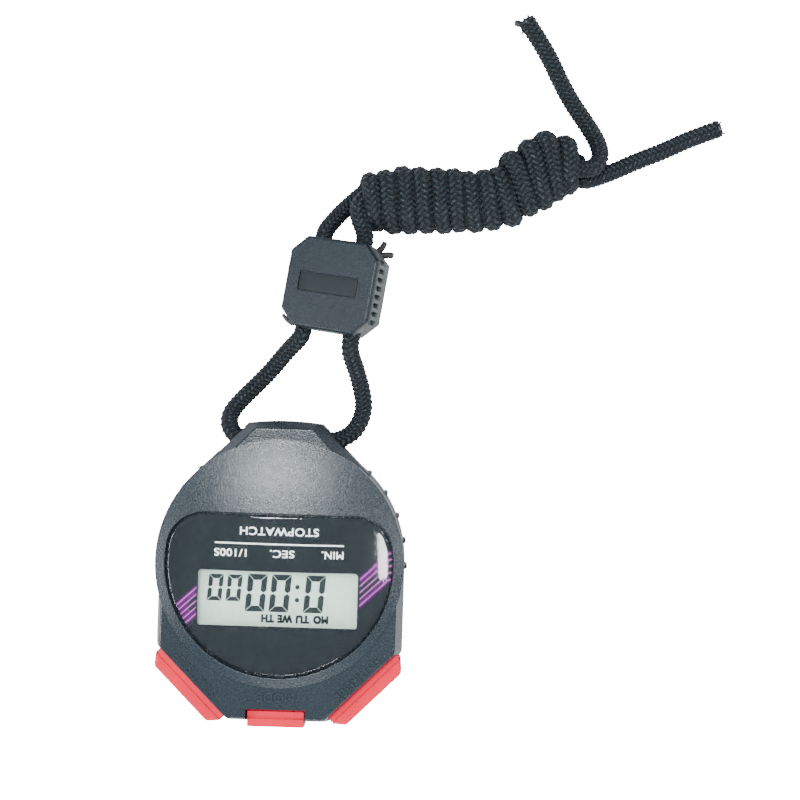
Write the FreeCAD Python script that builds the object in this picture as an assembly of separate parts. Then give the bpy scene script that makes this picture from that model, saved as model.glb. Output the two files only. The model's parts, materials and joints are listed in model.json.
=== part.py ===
"""Digital pocket stopwatch with a wound neck cord and a cord slider.

Millimetres.  +Z points up out of the display, +Y towards the MODE button (12 o'clock)
and +X to the START/STOP side.  The watch lies on its back: z = 0 is the back face and
the floor.  The origin is on the back face, below the centre of the domed front.
"""
import FreeCAD, Part
import math
import os

V = FreeCAD.Vector
TINY = 1e-6

# ---- case: plan outline at the parting plane -------------------------------------------
CASE_R = 32.6           # half width, and radius of the round lower half
TOP_Y = 42.6            # flat top edge
SHOULDER_SUM = 56.0     # |x| + y along the two 45 degree shoulders
CORNER_R = 2.5          # plan radius of the four upper corners
LUG_END_X = 9.8         # half width of the lug's end
LUG_TIP_Y = -37.0       # crown of the lug's end
PART_Z = 9.0            # parting plane between the two shells
FACE_Z = 16.0           # flat part of the front face
WALL = 2.2
FLOOR_Z = 2.0           # inside of the back
FACE_DRAFT = 2.0        # how far the front shell's sides lean in from parting plane to face
EDGE_R = 2.0            # rounding round the back face
RIM_R = 0.6             # rounding round the flat part of the front face

# ---- domed front and lens ---------------------------------------------------------------
DOME_R = 32.3           # plan radius of the dome
DOME_TOP_Z = 20.0
DOME_SPHERE = 152.0     # radius of the dome's outer surface
ROOF = 3.0              # wall thickness of the dome
DOME_CENTRE_Z = DOME_TOP_Z - DOME_SPHERE
LENS_R = 29.2
LENS_FLAT_Y = -12.7     # straight lower edge of the lens
LENS_CORNER_R = 9.6
LENS_GAP = 0.45         # gap round the lens
OPENING_R = 0.2         # rounding along the lens opening
LEDGE = 1.5             # width of the ledge that the lens is taped to
LENS_SINK = 0.15        # how far the lens lies below the dome's surface
LENS_T = 1.5
LENS_EDGE = 0.55        # rounding along the lens's upper edge
TAPE_T = 0.15
MASK_GAP = 0.1          # printing lies in the gap between the lens and the mask
MASK_T = 0.25

# ---- lug ----------------------------------------------------------------------------------
LUG_TOP_Z = 14.6
LUG_BOTTOM_Z = 2.0
LUG_BEVEL = 2.6         # width of the bevel along the lug's sides
LUG_BEVEL_H = 3.4
LUG_EDGE_R = 0.7        # rounding round the lug's flat top
LUG_ROOT_Y = -CASE_R * math.sqrt(0.5)
TUNNEL_Y = -32.0
TUNNEL_Z = 8.6
TUNNEL_R = 2.75
MOUTH_X = (8.5, 18.0)           # the tunnel's mouths widen between these distances from the middle
MOUTH_IN_Y, MOUTH_OUT_Y = (2.4, 3.4), (2.4, 5.6)    # their reach to each side of the tunnel's axis
MOUTH_HALF_H = 2.9
INNER_FLAT_Y = -27.2    # wall between the works and the tunnel

# ---- works --------------------------------------------------------------------------------
BOARD_Z = 9.2
BOARD_T = 1.0
BOARD_TOP = BOARD_Z + BOARD_T
BOARD_GAP = 0.9         # between the board's edge and the case wall
BOARD_LOW_Y = -24.5
BOARD_IN = 6.2          # how far the board stays inside the three sides with buttons
CHIP_X, CHIP_Y, CHIP_R, CHIP_H = 2.0, 15.0, 5.0, 1.4
LCD_X, LCD_Y = 0.15, 9.45
LCD_W, LCD_H = 44.6, 20.9       # front glass plate
WINDOW_W, WINDOW_H = 41.3, 15.3  # clear window in the printed mask
GLASS_T = 1.1
CELL_GAP = 0.1          # gap between the display's two glass plates
FILM_T = 0.2
LCD_BASE_Z = 11.1
CASE_SCREWS = [(-20.5, -17.5), (20.5, -17.5), (-11.0, 32.8), (11.0, 32.8)]
BOARD_SCREWS = [(-14.0, -20.0), (14.0, -20.0), (-26.5, 17.5), (26.5, 17.5)]
BOSS_R = 2.4
POST_R = 1.8
CELL_X, CELL_Y, CELL_R, CELL_T, CELL_Z = -11.0, -7.0, 10.0, 3.2, 4.6
STRAP_T, STRAP_W, STRAP_FOOT = 0.3, 5.0, 2.0
CELL_GAP_X = 0.5        # between the cell's rim and the strap's legs
CELL_STEP_H, CELL_STEP = 0.5, 1.2   # the cell's narrower negative end
LEAF_PROFILE = ((6.0, 9.0), (2.0, 9.0), (-3.0, 8.05), (-5.0, 8.5))      # x from the cell's middle, and z
PIEZO_X, PIEZO_Y, PIEZO_R = 13.0, -7.5, 9.0
PIEZO_T, CERAMIC_R, CERAMIC_T = 0.2, 6.5, 0.25
WIRE_R = 0.4
RED_WIRE = [(12.0, -5.0, 2.9), (15.0, -4.0, 3.4), (17.5, -1.0, 5.6), (18.0, 1.0, 7.4), (18.0, 1.0, BOARD_Z)]
BLACK_WIRE = [(20.6, -9.6, 2.65), (21.0, -7.4, 3.6), (21.6, -4.6, 5.4), (21.6, -2.6, 7.2),
              (21.6, -2.6, BOARD_Z)]
CRYSTAL_AT, CRYSTAL_R, CRYSTAL_L = (13.0, 12.0), 1.0, 6.0
CAPACITORS_AT = [(-8, 14), (-8, 17), (11, 21), (16, 8), (-14, 10)]
RESISTORS_AT = [(-12, 20), (-16, 16), (18, 12), (18, 15), (8, 6)]
CAPACITOR = (2.0, 1.25, 0.9)    # length, width and height
RESISTOR = (1.6, 0.8, 0.5)
CASE_SCREW = (1.9, 0.3, 1.3, 1.0, 13.0)     # head radius, its lower face, its height, shank radius, tip
BOARD_SCREW = (1.5, BOARD_Z - 1.0, 1.0, 0.7, 13.0)
CRADLE_GAP, CRADLE_T, CRADLE_TOP_Z = 0.4, 1.0, 4.2
BUZZER_GAP, BUZZER_RING_T, BUZZER_RING_TOP_Z = 0.2, 1.0, 3.0

# ---- blank recessed panel on the back face --------------------------------------------------
PANEL_W, PANEL_H, PANEL_Y, PANEL_DEPTH = 38.0, 16.0, 6.0, 0.4

# ---- grip ribs: five upright half-round ribs on each side of the round half -----------------
RIB_COUNT = 5
RIB_FIRST, RIB_STEP = 43.5, 12.0    # degrees from the lug
RIB_R = 0.65
RIB_Z = (2.6, 7.8)

# ---- buttons: each travels 1 mm inwards -----------------------------------------------------
SLOT_GAP = 0.25
SLOT_DEPTH = 5.2        # how far the button's slot reaches into the case
OPEN_SLOT_DEPTH, OPEN_SLOT_Z, OPEN_SLOT_GAP = 4.6, 11.5, 0.15     # the MODE slot's open upper part
FLANGE_DEPTH = 3.6      # outer face of the retaining flange, below the case side
FLANGE_T = 1.0
FLANGE_Z = (3.8, 13.1)
STEM_TIP = 7.4
STEM_W = 4.0
STEM_Z = (10.7, 12.5)
END_IN = 2.3            # how far the slanting ends of the START and SPLIT caps come in
CAP_SIDE = 0.9          # height of those caps' ends above the case side
CAP_CORNERS = [0, 0.8, 1.4, 1.4, 0.8, 0]
CAP_RIM_R = 0.9
GROOVE = (0.35, 0.7)    # thin groove round the START and SPLIT caps, from and to above the case side
GROOVE_DEPTH = 0.35
MODE_END_R = 0.5
LEAF_T = 0.2
LEAF_GAP = 0.1
LEAF_HALF, LEAF_TOP_Z, LEAF_FOOT = 5.5, 12.7, 3.0
TERMINAL_GAP, TERMINAL_T, TERMINAL_HALF, TERMINAL_TOP_Z = 0.8, 0.6, 1.2, 12.4
SHOULDER_MID = ((SHOULDER_SUM - TOP_Y + CASE_R) / 2, (SHOULDER_SUM - CASE_R + TOP_Y) / 2)

# ---- cord and slider ----------------------------------------------------------------------
CORD_D = 4.5
CORD_R = CORD_D / 2
ARC_SHARE = 0.45        # share of the shorter run that each arc uses
SLIDER_W = 25.0
SLIDER_L = 24.2
SLIDER_BACK_T = 5.0     # from the channels' plane to the back
SLIDER_SPLIT = 3.0      # from the channels' plane to the joint between the two halves
SLIDER_FRONT_T = 5.0    # from the channels' plane to the front
SLIDER_CORNER = 4.2
SLIDER_ROLL = 19.0      # its -X side is raised by this many degrees
SLIDER_TURN = -8.5
SLIDER_CENTRE = V(-11.9, -72.95, 8.8)
CHANNEL_NEAR_X = 7.0    # the two cord channels lie this far from the slider's middle at the watch
CHANNEL_FAR_X = 5.9     # and this far at the other end
CHANNEL_R = 2.4
SLIDER_RIM_R = 0.8      # rounding round each half's outer face
PANEL_SLOT = (16.8, 5.3, 0.6)       # blank recess in the slider's front
PANEL_X = 0.3
DIMPLES = 8             # upright hollows in each of the slider's sides
DIMPLE_R = 0.65
DIMPLE_TALL = 1.5       # from a hollow's middle to the centre of its rounded end
DIMPLE_DEPTH = 1.2
DIMPLE_Z = 0.7          # height of the hollows' middles above the channels' plane
HANK_H = 14.0
HANK_PLAN = [(-18.6, -90.0), (-18.6, -103.6), (-33.0, -106.2), (-54.0, -105.4), (-63.5, -115.8),
             (-70.0, -117.4), (-77.0, -111.0), (-77.0, -101.5), (-56.0, -89.6), (-33.0, -87.6)]
HANK_CORNERS = [3, 4, 8, 8, 4, 4, 4, 4, 8, 8]   # corner radius at each point
HANK_RIM_R = 4.0


def polar(radius, degrees):
    """Point on a circle round the origin; the angle is counted from +X."""
    return (radius * math.cos(math.radians(degrees)), radius * math.sin(math.radians(degrees)))


def rounded_wire(points, radii, z):
    """Closed wire through plan points, each corner rounded by its own radius (0: sharp)."""
    count = len(points)
    starts, ends, mids = [], [], []
    for i, radius in enumerate(radii):
        here = V(points[i][0], points[i][1], z)
        before = V(points[i - 1][0], points[i - 1][1], z)
        after = V(points[(i + 1) % count][0], points[(i + 1) % count][1], z)
        back = (before - here).normalize()
        ahead = (after - here).normalize()
        half = back.getAngle(ahead) / 2
        reach = radius / math.tan(half)
        starts.append(here + back * reach)
        ends.append(here + ahead * reach)
        inward = (back + ahead).normalize()
        mids.append(here + inward * (radius / math.sin(half) - radius))
    edges = []
    for i in range(count):
        if radii[i] > 0:
            edges.append(Part.Arc(starts[i], mids[i], ends[i]).toShape())
        nxt = (i + 1) % count
        if (starts[nxt] - ends[i]).Length > TINY:
            edges.append(Part.LineSegment(ends[i], starts[nxt]).toShape())
    return Part.Wire(edges)


def prism(wire, height):
    return Part.Face(wire).extrude(V(0, 0, height))


def box(x0, x1, y0, y1, z0, z1):
    return Part.makeBox(x1 - x0, y1 - y0, z1 - z0, V(x0, y0, z0))


def centred_box(x, y, width, height, z0, z1):
    return box(x - width / 2, x + width / 2, y - height / 2, y + height / 2, z0, z1)


def rod(x, y, radius, z0, z1):
    return Part.makeCylinder(radius, z1 - z0, V(x, y, z0))


def ball(radius, top_z):
    """Ball whose highest point is at top_z on the axis."""
    return Part.makeSphere(radius, V(0, 0, top_z - radius))


def fuse(shapes):
    return shapes[0].multiFuse(shapes[1:]).removeSplitter()


def cut_all(shape, tools):
    for tool in tools:
        shape = shape.cut(tool)
    return shape


def outline(inset, z):
    """Plan outline of the case, moved in by inset."""
    r = CASE_R - inset
    top = TOP_Y - inset
    total = SHOULDER_SUM - inset * math.sqrt(2)
    diagonal = r * math.sqrt(2)
    end_x = LUG_END_X - 0.4 * inset
    half_turn = math.tan(math.radians(22.5))
    reach = CORNER_R * half_turn

    def point(x, y):
        return V(x, y, z)

    def corner(sign, at, to_before, to_after):
        """Arc that rounds one upper corner; the directions point along its two sides."""
        start = V(at.x + sign * to_before[0] * reach, at.y + to_before[1] * reach, z)
        end = V(at.x + sign * to_after[0] * reach, at.y + to_after[1] * reach, z)
        mid_way = (start + end) * 0.5
        toward = (at - mid_way).normalize()
        sagitta = CORNER_R * (1 - math.cos(math.radians(22.5)))
        return start, mid_way + toward * sagitta, end

    diag = math.sqrt(0.5)
    low_r = corner(1, point(r, total - r), (0, -1), (-diag, diag))
    high_r = corner(1, point(total - top, top), (diag, -diag), (-1, 0))
    high_l = corner(-1, point(top - total, top), (-1, 0), (diag, -diag))
    low_l = corner(-1, point(-r, total - r), (-diag, diag), (0, -1))
    tangent = r * diag
    lug_y = -(diagonal - end_x)
    edges = [
        Part.LineSegment(point(r, 0), low_r[0]),
        Part.Arc(*low_r),
        Part.LineSegment(low_r[2], high_r[0]),
        Part.Arc(*high_r),
        Part.LineSegment(high_r[2], high_l[0]),
        Part.Arc(*high_l),
        Part.LineSegment(high_l[2], low_l[0]),
        Part.Arc(*low_l),
        Part.LineSegment(low_l[2], point(-r, 0)),
        Part.Arc(point(-r, 0), point(*polar(r, 202.5)), point(-tangent, -tangent)),
        Part.LineSegment(point(-tangent, -tangent), point(-end_x, lug_y)),
        Part.Arc(point(-end_x, lug_y), point(0, LUG_TIP_Y + inset), point(end_x, lug_y)),
        Part.LineSegment(point(end_x, lug_y), point(tangent, -tangent)),
        Part.Arc(point(tangent, -tangent), point(*polar(r, -22.5)), point(r, 0)),
    ]
    return Part.Wire([edge.toShape() for edge in edges])


def case_block(inset_low, z_low, inset_high, z_high):
    """Solid between two insets of the case outline."""
    if inset_low == inset_high:
        return prism(outline(inset_low, z_low), z_high - z_low)
    return Part.makeLoft([outline(inset_low, z_low), outline(inset_high, z_high)], True, True)


def lens_wire(inset, z):
    """D outline of the lens: a circle with a straight lower edge and rounded corners."""
    r = LENS_R - inset
    flat = LENS_FLAT_Y + inset
    corner = LENS_CORNER_R - inset
    centre_y = flat + corner
    centre_x = math.sqrt((r - corner) ** 2 - centre_y ** 2)
    angle = math.degrees(math.atan2(centre_y, centre_x))
    touch = polar(r, angle)
    bisect = math.radians((angle - 90) / 2)
    mid = (centre_x + corner * math.cos(bisect), centre_y + corner * math.sin(bisect))
    edges = [
        Part.Arc(V(touch[0], touch[1], z), V(0, r, z), V(-touch[0], touch[1], z)),
        Part.Arc(V(-touch[0], touch[1], z), V(-mid[0], mid[1], z), V(-centre_x, flat, z)),
        Part.LineSegment(V(-centre_x, flat, z), V(centre_x, flat, z)),
        Part.Arc(V(centre_x, flat, z), V(mid[0], mid[1], z), V(touch[0], touch[1], z)),
    ]
    return Part.Wire([edge.toShape() for edge in edges])


def dome_layer(inset, top_drop, thickness):
    """Lens-shaped piece that follows the dome: its top lies top_drop below the surface."""
    column = prism(lens_wire(inset, PART_Z), DOME_TOP_Z)
    top = column.common(ball(DOME_SPHERE - top_drop, DOME_TOP_Z - top_drop))
    below = top_drop + thickness
    return top.cut(ball(DOME_SPHERE - below, DOME_TOP_Z - below))


# ---- lug ------------------------------------------------------------------------------------

def lug_region(z0, z1):
    return box(-40, 40, -45, LUG_ROOT_Y, z0, z1)


def lug_bevels(face_z, direction):
    """Wedges that bevel the lug's two slanting sides and its end."""
    wedges = []
    drop = -direction * LUG_BEVEL_H
    proud = direction * 1.0
    for angle, distance, width in ((-45, CASE_R, LUG_BEVEL), (-135, CASE_R, LUG_BEVEL),
                                   (-90, -LUG_TIP_Y, 1.9)):
        section = [V(distance + 1, -40, face_z + drop * (width + 1) / width),
                   V(distance - width, -40, face_z), V(distance - width, -40, face_z + proud),
                   V(distance + 1, -40, face_z + proud)]
        wire = Part.makePolygon(section + [section[0]])
        wedge = Part.Face(wire).extrude(V(0, 80, 0))
        wedge.rotate(V(0, 0, 0), V(0, 0, 1), angle)
        wedges.append(wedge)
    return wedges


def tunnel():
    """Passage for the neck cord, flared where it opens on the lug's slanting sides."""
    bore = Part.makeCylinder(TUNNEL_R, 50, V(-25, TUNNEL_Y, TUNNEL_Z), V(1, 0, 0))
    cuts = [bore]
    for side in (-1, 1):
        near, far = side * MOUTH_X[0], side * MOUTH_X[1]
        plan = [(near, TUNNEL_Y + MOUTH_IN_Y[0]), (far, TUNNEL_Y + MOUTH_IN_Y[1]),
                (far, TUNNEL_Y - MOUTH_OUT_Y[1]), (near, TUNNEL_Y - MOUTH_OUT_Y[0])]
        mouth = prism(rounded_wire(plan, [0, 0, 0, 0], TUNNEL_Z - MOUTH_HALF_H), 2 * MOUTH_HALF_H)
        cuts.append(mouth)
    return fuse(cuts)


# ---- shells ---------------------------------------------------------------------------------

def button_frames():
    """Name, middle of the case side that it stands on, and outward direction in degrees."""
    mid_x, mid_y = SHOULDER_MID
    return {"start": (mid_x, mid_y, 45.0), "split": (-mid_x, mid_y, 135.0), "mode": (0.0, TOP_Y, 90.0)}


BUTTON_SHAPE = {"start": dict(half=12.3, proud=3.6, z0=4.8, z1=12.2, lip=0.35),
                "split": dict(half=12.3, proud=3.6, z0=4.8, z1=12.2, lip=0.35),
                "mode": dict(half=7.4, proud=1.6, z0=4.6, z1=14.2, lip=1.1)}


def to_side(shape, name):
    """Turn and move a shape made about +X, with its case side at x = 0, onto its side."""
    x, y, angle = button_frames()[name]
    placed = shape.copy()
    placed.rotate(V(0, 0, 0), V(0, 0, 1), angle)
    placed.translate(V(x, y, 0))
    return placed


def button_slot(name):
    form = BUTTON_SHAPE[name]
    half = form["half"] + SLOT_GAP
    slot = box(-SLOT_DEPTH, 6, -half, half, form["z0"] - SLOT_GAP, form["z1"] + SLOT_GAP)
    if name == "mode":
        half += OPEN_SLOT_GAP
        slot = slot.fuse(box(-OPEN_SLOT_DEPTH, 6, -half, half, OPEN_SLOT_Z, FACE_Z + 1))
    return to_side(slot, name)


def grip_ribs():
    ribs = []
    for step in range(RIB_COUNT):
        angle = RIB_FIRST + RIB_STEP * step
        for side in (-1, 1):
            x, y = polar(CASE_R + 0.05, -90 + side * angle)
            ribs.append(rod(x, y, RIB_R, *RIB_Z))
    return ribs


def collar(x, y, inner_r, thick, top_z):
    """Ring that stands on the back shell's floor."""
    return rod(x, y, inner_r + thick, FLOOR_Z - 0.5, top_z).cut(rod(x, y, inner_r, FLOOR_Z - 1, top_z + 1))


def back_shell():
    body = case_block(0, 0, 0, PART_Z)
    rim = [edge for edge in body.Edges
           if abs(edge.BoundBox.ZMax) < TINY and edge.BoundBox.DiagonalLength > TINY]
    body = body.makeFillet(EDGE_R, rim)
    lug = body.common(lug_region(LUG_BOTTOM_Z, PART_Z))
    lug = cut_all(lug, lug_bevels(LUG_BOTTOM_Z, -1))
    body = body.cut(lug_region(-1, PART_Z + 1).cut(Part.makeCylinder(CASE_R, 20, V(0, 0, -5)).common(
        lug_region(-1, PART_Z + 1))))
    body = fuse([body, lug] + grip_ribs())
    hollow = case_block(WALL, FLOOR_Z, WALL, PART_Z + 1).common(box(-50, 50, INNER_FLAT_Y, 50, 0, 20))
    body = body.cut(hollow)
    posts = [rod(x, y, BOSS_R, 1.0, PART_Z) for x, y in CASE_SCREWS]
    cradle = collar(CELL_X, CELL_Y, CELL_R + CRADLE_GAP, CRADLE_T, CRADLE_TOP_Z)
    buzzer_ring = collar(PIEZO_X, PIEZO_Y, PIEZO_R + BUZZER_GAP, BUZZER_RING_T, BUZZER_RING_TOP_Z)
    body = fuse([body, cradle, buzzer_ring] + posts)
    tools = [tunnel()] + [button_slot(name) for name in BUTTON_SHAPE]
    panel = [(-PANEL_W / 2, PANEL_Y), (PANEL_W / 2, PANEL_Y), (PANEL_W / 2, PANEL_Y + PANEL_H),
             (-PANEL_W / 2, PANEL_Y + PANEL_H)]
    tools.append(prism(rounded_wire(panel, [2.0] * 4, -1), 1 + PANEL_DEPTH))
    for x, y in CASE_SCREWS:
        tools.append(rod(x, y, 1.25, -1, PART_Z + 1))
        tools.append(rod(x, y, 2.05, -1, 1.8))
    for ring in range(3):
        for k in range(1 if ring == 0 else 6):
            dx, dy = polar(ring * 1.8, k * 60 + ring * 30)
            tools.append(rod(PIEZO_X + dx, PIEZO_Y + dy, 0.5, -1, 3))
    return cut_all(body, tools)


def rounded_where(body, radius, chosen):
    """Rounds the edges that pass the test."""
    return body.makeFillet(radius, [edge for edge in body.Edges if chosen(edge)])


def on_rim(edge):
    """Whether an edge goes round the flat part of the front face."""
    return abs(edge.CenterOfMass.z - FACE_Z) < TINY


def on_lug_top(edge):
    """Whether an edge goes round the lug's flat top, not where the lug joins the case."""
    return abs(edge.CenterOfMass.z - LUG_TOP_Z) < TINY and edge.CenterOfMass.y < LUG_ROOT_Y - TINY


def on_opening(edge):
    """Whether an edge lies between the dome's surface and the wall of the lens opening."""
    centre = V(0, 0, DOME_CENTRE_Z)
    ends = [vertex.Point for vertex in edge.Vertexes]
    return all(abs(end.distanceToPoint(centre) - DOME_SPHERE) < TINY
               and math.hypot(end.x, end.y) < DOME_R - TINY for end in ends)


def front_shell():
    upper = case_block(0, PART_Z, FACE_DRAFT, FACE_Z)
    upper = rounded_where(upper, RIM_R, on_rim)
    lug = cut_all(case_block(0, PART_Z, 0, LUG_TOP_Z).common(lug_region(PART_Z, LUG_TOP_Z)),
                  lug_bevels(LUG_TOP_Z, 1))
    lug = rounded_where(lug, LUG_EDGE_R, on_lug_top)
    upper = upper.cut(lug_region(PART_Z - 1, FACE_Z + 1))
    dome = Part.makeCylinder(DOME_R, 20, V(0, 0, PART_Z)).common(ball(DOME_SPHERE, DOME_TOP_Z))
    body = fuse([upper, lug, dome])
    inner = box(-50, 50, INNER_FLAT_Y, 50, 0, 30)
    hollow_low = case_block(WALL, PART_Z - 0.01, WALL + 1.0, 13.8)
    hollow_dome = Part.makeCylinder(30.0, 20, V(0, 0, PART_Z - 0.01)).common(
        ball(DOME_SPHERE - ROOF, DOME_TOP_Z - ROOF))
    body = body.cut(hollow_low.common(inner)).cut(hollow_dome.common(inner))
    opening = prism(lens_wire(-LENS_GAP, PART_Z), 20)
    seat = ball(DOME_SPHERE - LENS_SINK - LENS_T - TAPE_T, DOME_TOP_Z - LENS_SINK - LENS_T - TAPE_T)
    body = rounded_where(body.cut(opening.cut(seat)), OPENING_R, on_opening)
    body = body.cut(prism(lens_wire(LEDGE, PART_Z), 20))
    solid = ball(DOME_SPHERE - 1.0, DOME_TOP_Z - 1.0)
    posts = [rod(x, y, BOSS_R, PART_Z, 15.0) for x, y in CASE_SCREWS]
    posts += [rod(x, y, POST_R, BOARD_TOP, 15.0).common(solid) for x, y in BOARD_SCREWS]
    body = fuse([body] + posts)
    tools = [tunnel()] + [button_slot(name) for name in BUTTON_SHAPE]
    tools += [rod(x, y, 1.0, PART_Z - 1, 13.4) for x, y in CASE_SCREWS]
    tools += [rod(x, y, 0.7, BOARD_TOP - 1, 13.2) for x, y in BOARD_SCREWS]
    return cut_all(body, tools)


def lens():
    body = dome_layer(0.0, LENS_SINK, LENS_T)
    top = max(body.Faces, key=lambda face: face.CenterOfMass.z)
    return body.makeFillet(LENS_EDGE, top.Edges)


def lens_adhesive():
    drop = LENS_SINK + LENS_T
    return dome_layer(0.25, drop, TAPE_T).cut(prism(lens_wire(LEDGE, 0), 40))


def face_mask():
    film = dome_layer(LEDGE + 0.15, LENS_SINK + LENS_T + MASK_GAP, MASK_T)
    x0, x1 = LCD_X - WINDOW_W / 2, LCD_X + WINDOW_W / 2
    y0, y1 = LCD_Y - WINDOW_H / 2, LCD_Y + WINDOW_H / 2
    window = rounded_wire([(x0, y0), (x1, y0), (x1, y1), (x0, y1)], [1.0] * 4, 0)
    return film.cut(prism(window, 40))


# ---- display and board ------------------------------------------------------------------------

LCD_LOW_Y = LCD_Y - LCD_H / 2
REAR_H = LCD_H - 2.6
SEAL_W = 0.8


def rear_plate_box(z0, z1, trim):
    return box(LCD_X - LCD_W / 2 + trim, LCD_X + LCD_W / 2 - trim, LCD_LOW_Y + trim,
               LCD_LOW_Y + REAR_H - trim, z0, z1)


def display_parts():
    z = LCD_BASE_Z
    rear_z = z + FILM_T
    seal_z = rear_z + GLASS_T
    front_z = seal_z + CELL_GAP
    top_z = front_z + GLASS_T
    frame = centred_box(LCD_X, LCD_Y, LCD_W + 3.0, LCD_H + 3.2, BOARD_TOP, front_z + 0.7)
    inner = centred_box(LCD_X, LCD_Y, LCD_W + 0.3, LCD_H + 0.3, z, front_z + 2)
    floor_hole = box(LCD_X - 20.5, LCD_X + 20.5, LCD_LOW_Y + 1.6, LCD_LOW_Y + REAR_H - 1.2, BOARD_Z, z + 1)
    zebra_y = LCD_LOW_Y + REAR_H + 0.35
    zebra_room = box(LCD_X - 21.3, LCD_X + 21.3, zebra_y - 0.2, zebra_y + 2.1, BOARD_Z, z + 1)
    return {
        "lcd_reflector": rear_plate_box(z, rear_z, 0.3),
        "lcd_rear_plate": rear_plate_box(rear_z, seal_z, 0.0),
        "lcd_seal": rear_plate_box(seal_z, front_z, 0.0).cut(rear_plate_box(0, FACE_Z, SEAL_W)),
        "lcd_front_plate": centred_box(LCD_X, LCD_Y, LCD_W, LCD_H, front_z, top_z),
        "lcd_polariser": rear_plate_box(top_z, top_z + FILM_T, 0.6),
        "zebra_strip": box(LCD_X - 21.0, LCD_X + 21.0, zebra_y, zebra_y + 1.9, BOARD_TOP, front_z),
        "lcd_bezel": cut_all(frame, [inner, floor_hole, zebra_room]),
    }


def circuit_board():
    plate = case_block(WALL + BOARD_GAP, BOARD_Z, WALL + BOARD_GAP, BOARD_TOP)
    plate = plate.common(box(-40, 40, BOARD_LOW_Y, TOP_Y - BOARD_IN, BOARD_Z - 1, BOARD_TOP + 1))
    reach = (SHOULDER_SUM - BOARD_IN * math.sqrt(2)) / math.sqrt(2)
    for angle in (45, 135):
        keep = box(-80, reach, -80, 80, BOARD_Z - 1, BOARD_TOP + 1)
        keep.rotate(V(0, 0, 0), V(0, 0, 1), angle)
        plate = plate.common(keep)
    holes = [rod(x, y, BOSS_R + 0.4, BOARD_Z - 1, BOARD_TOP + 1) for x, y in CASE_SCREWS]
    holes += [rod(x, y, 0.85, BOARD_Z - 1, BOARD_TOP + 1) for x, y in BOARD_SCREWS]
    return cut_all(plate, holes)


def chip_blob():
    """Epoxy drop over the clock chip, on the board's underside."""
    sphere_r = (CHIP_R ** 2 + CHIP_H ** 2) / (2 * CHIP_H)
    drop = Part.makeSphere(sphere_r, V(CHIP_X, CHIP_Y, BOARD_Z + sphere_r - CHIP_H))
    return drop.common(centred_box(CHIP_X, CHIP_Y, 3 * CHIP_R, 3 * CHIP_R, BOARD_Z - 2 * CHIP_H, BOARD_Z))


def small_parts(positions, length, width, height):
    return Part.makeCompound([centred_box(x, y, length, width, BOARD_Z - height, BOARD_Z)
                              for x, y in positions])


def bent_strip(profile, width, thickness, y):
    """Strip of sheet bent along an x-z profile, centred on y."""
    outer, inner = [], []
    for i, (x, z) in enumerate(profile):
        px, pz = profile[max(i - 1, 0)]
        nx, nz = profile[min(i + 1, len(profile) - 1)]
        a = V(x - px, 0, z - pz)
        b = V(nx - x, 0, nz - z)
        along = (a.normalize() if a.Length else V()) + (b.normalize() if b.Length else V())
        along.normalize()
        normal = V(-along.z, 0, along.x)
        turn = (a.getAngle(b) / 2) if a.Length and b.Length else 0.0
        offset = normal * (thickness / math.cos(turn))
        outer.append(V(x, y - width / 2, z))
        inner.append(V(x + offset.x, y - width / 2, z + offset.z))
    loop = outer + inner[::-1] + [outer[0]]
    return Part.Face(Part.makePolygon(loop)).extrude(V(0, width, 0))


def battery_parts():
    low = CELL_Z - STRAP_T
    x0, x1 = CELL_X - CELL_R - CELL_GAP_X, CELL_X + CELL_R + CELL_GAP_X
    y0, y1 = CELL_Y - STRAP_W / 2, CELL_Y + STRAP_W / 2
    strap = [box(x0 - STRAP_T, x1 + STRAP_T, y0, y1, low, CELL_Z)]
    strap += [box(x0 - STRAP_T, x0, y0, y1, low, BOARD_Z), box(x1, x1 + STRAP_T, y0, y1, low, BOARD_Z)]
    strap += [box(x0 - STRAP_FOOT, x0, y0, y1, BOARD_Z - STRAP_T, BOARD_Z),
              box(x1, x1 + STRAP_FOOT, y0, y1, BOARD_Z - STRAP_T, BOARD_Z)]
    cell_top = CELL_Z + CELL_T
    leaf = bent_strip([(CELL_X + x, z) for x, z in LEAF_PROFILE], 4.0, LEAF_T, CELL_Y)
    cell = rod(CELL_X, CELL_Y, CELL_R, CELL_Z, cell_top - CELL_STEP_H).fuse(
        rod(CELL_X, CELL_Y, CELL_R - CELL_STEP, cell_top - CELL_STEP_H, cell_top))
    return {"coin_cell": cell.removeSplitter(), "battery_strap": fuse(strap), "battery_leaf": leaf}


def screw(x, y, head_r, head_z, head_t, shank_r, tip_z):
    """Pan-head cross-recess screw driven in the +Z direction."""
    head = rod(x, y, head_r, head_z, head_z + head_t)
    low_edge = [edge for edge in head.Edges
                if abs(edge.BoundBox.ZMax - head_z) < TINY and len(edge.Vertexes) == 1]
    head = head.makeFillet(head_t * 0.45, low_edge)
    shank = rod(x, y, shank_r, head_z + head_t / 2, tip_z - shank_r)
    tip = Part.makeCone(shank_r, 0.3, shank_r, V(x, y, tip_z - shank_r))
    whole = fuse([head, shank, tip])
    slot = head_r * 1.3
    for size_x, size_y in ((slot, 0.45), (0.45, slot)):
        whole = whole.cut(centred_box(x, y, size_x, size_y, head_z - 1, head_z + head_t * 0.55))
    return whole


# ---- buttons ----------------------------------------------------------------------------------

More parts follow.
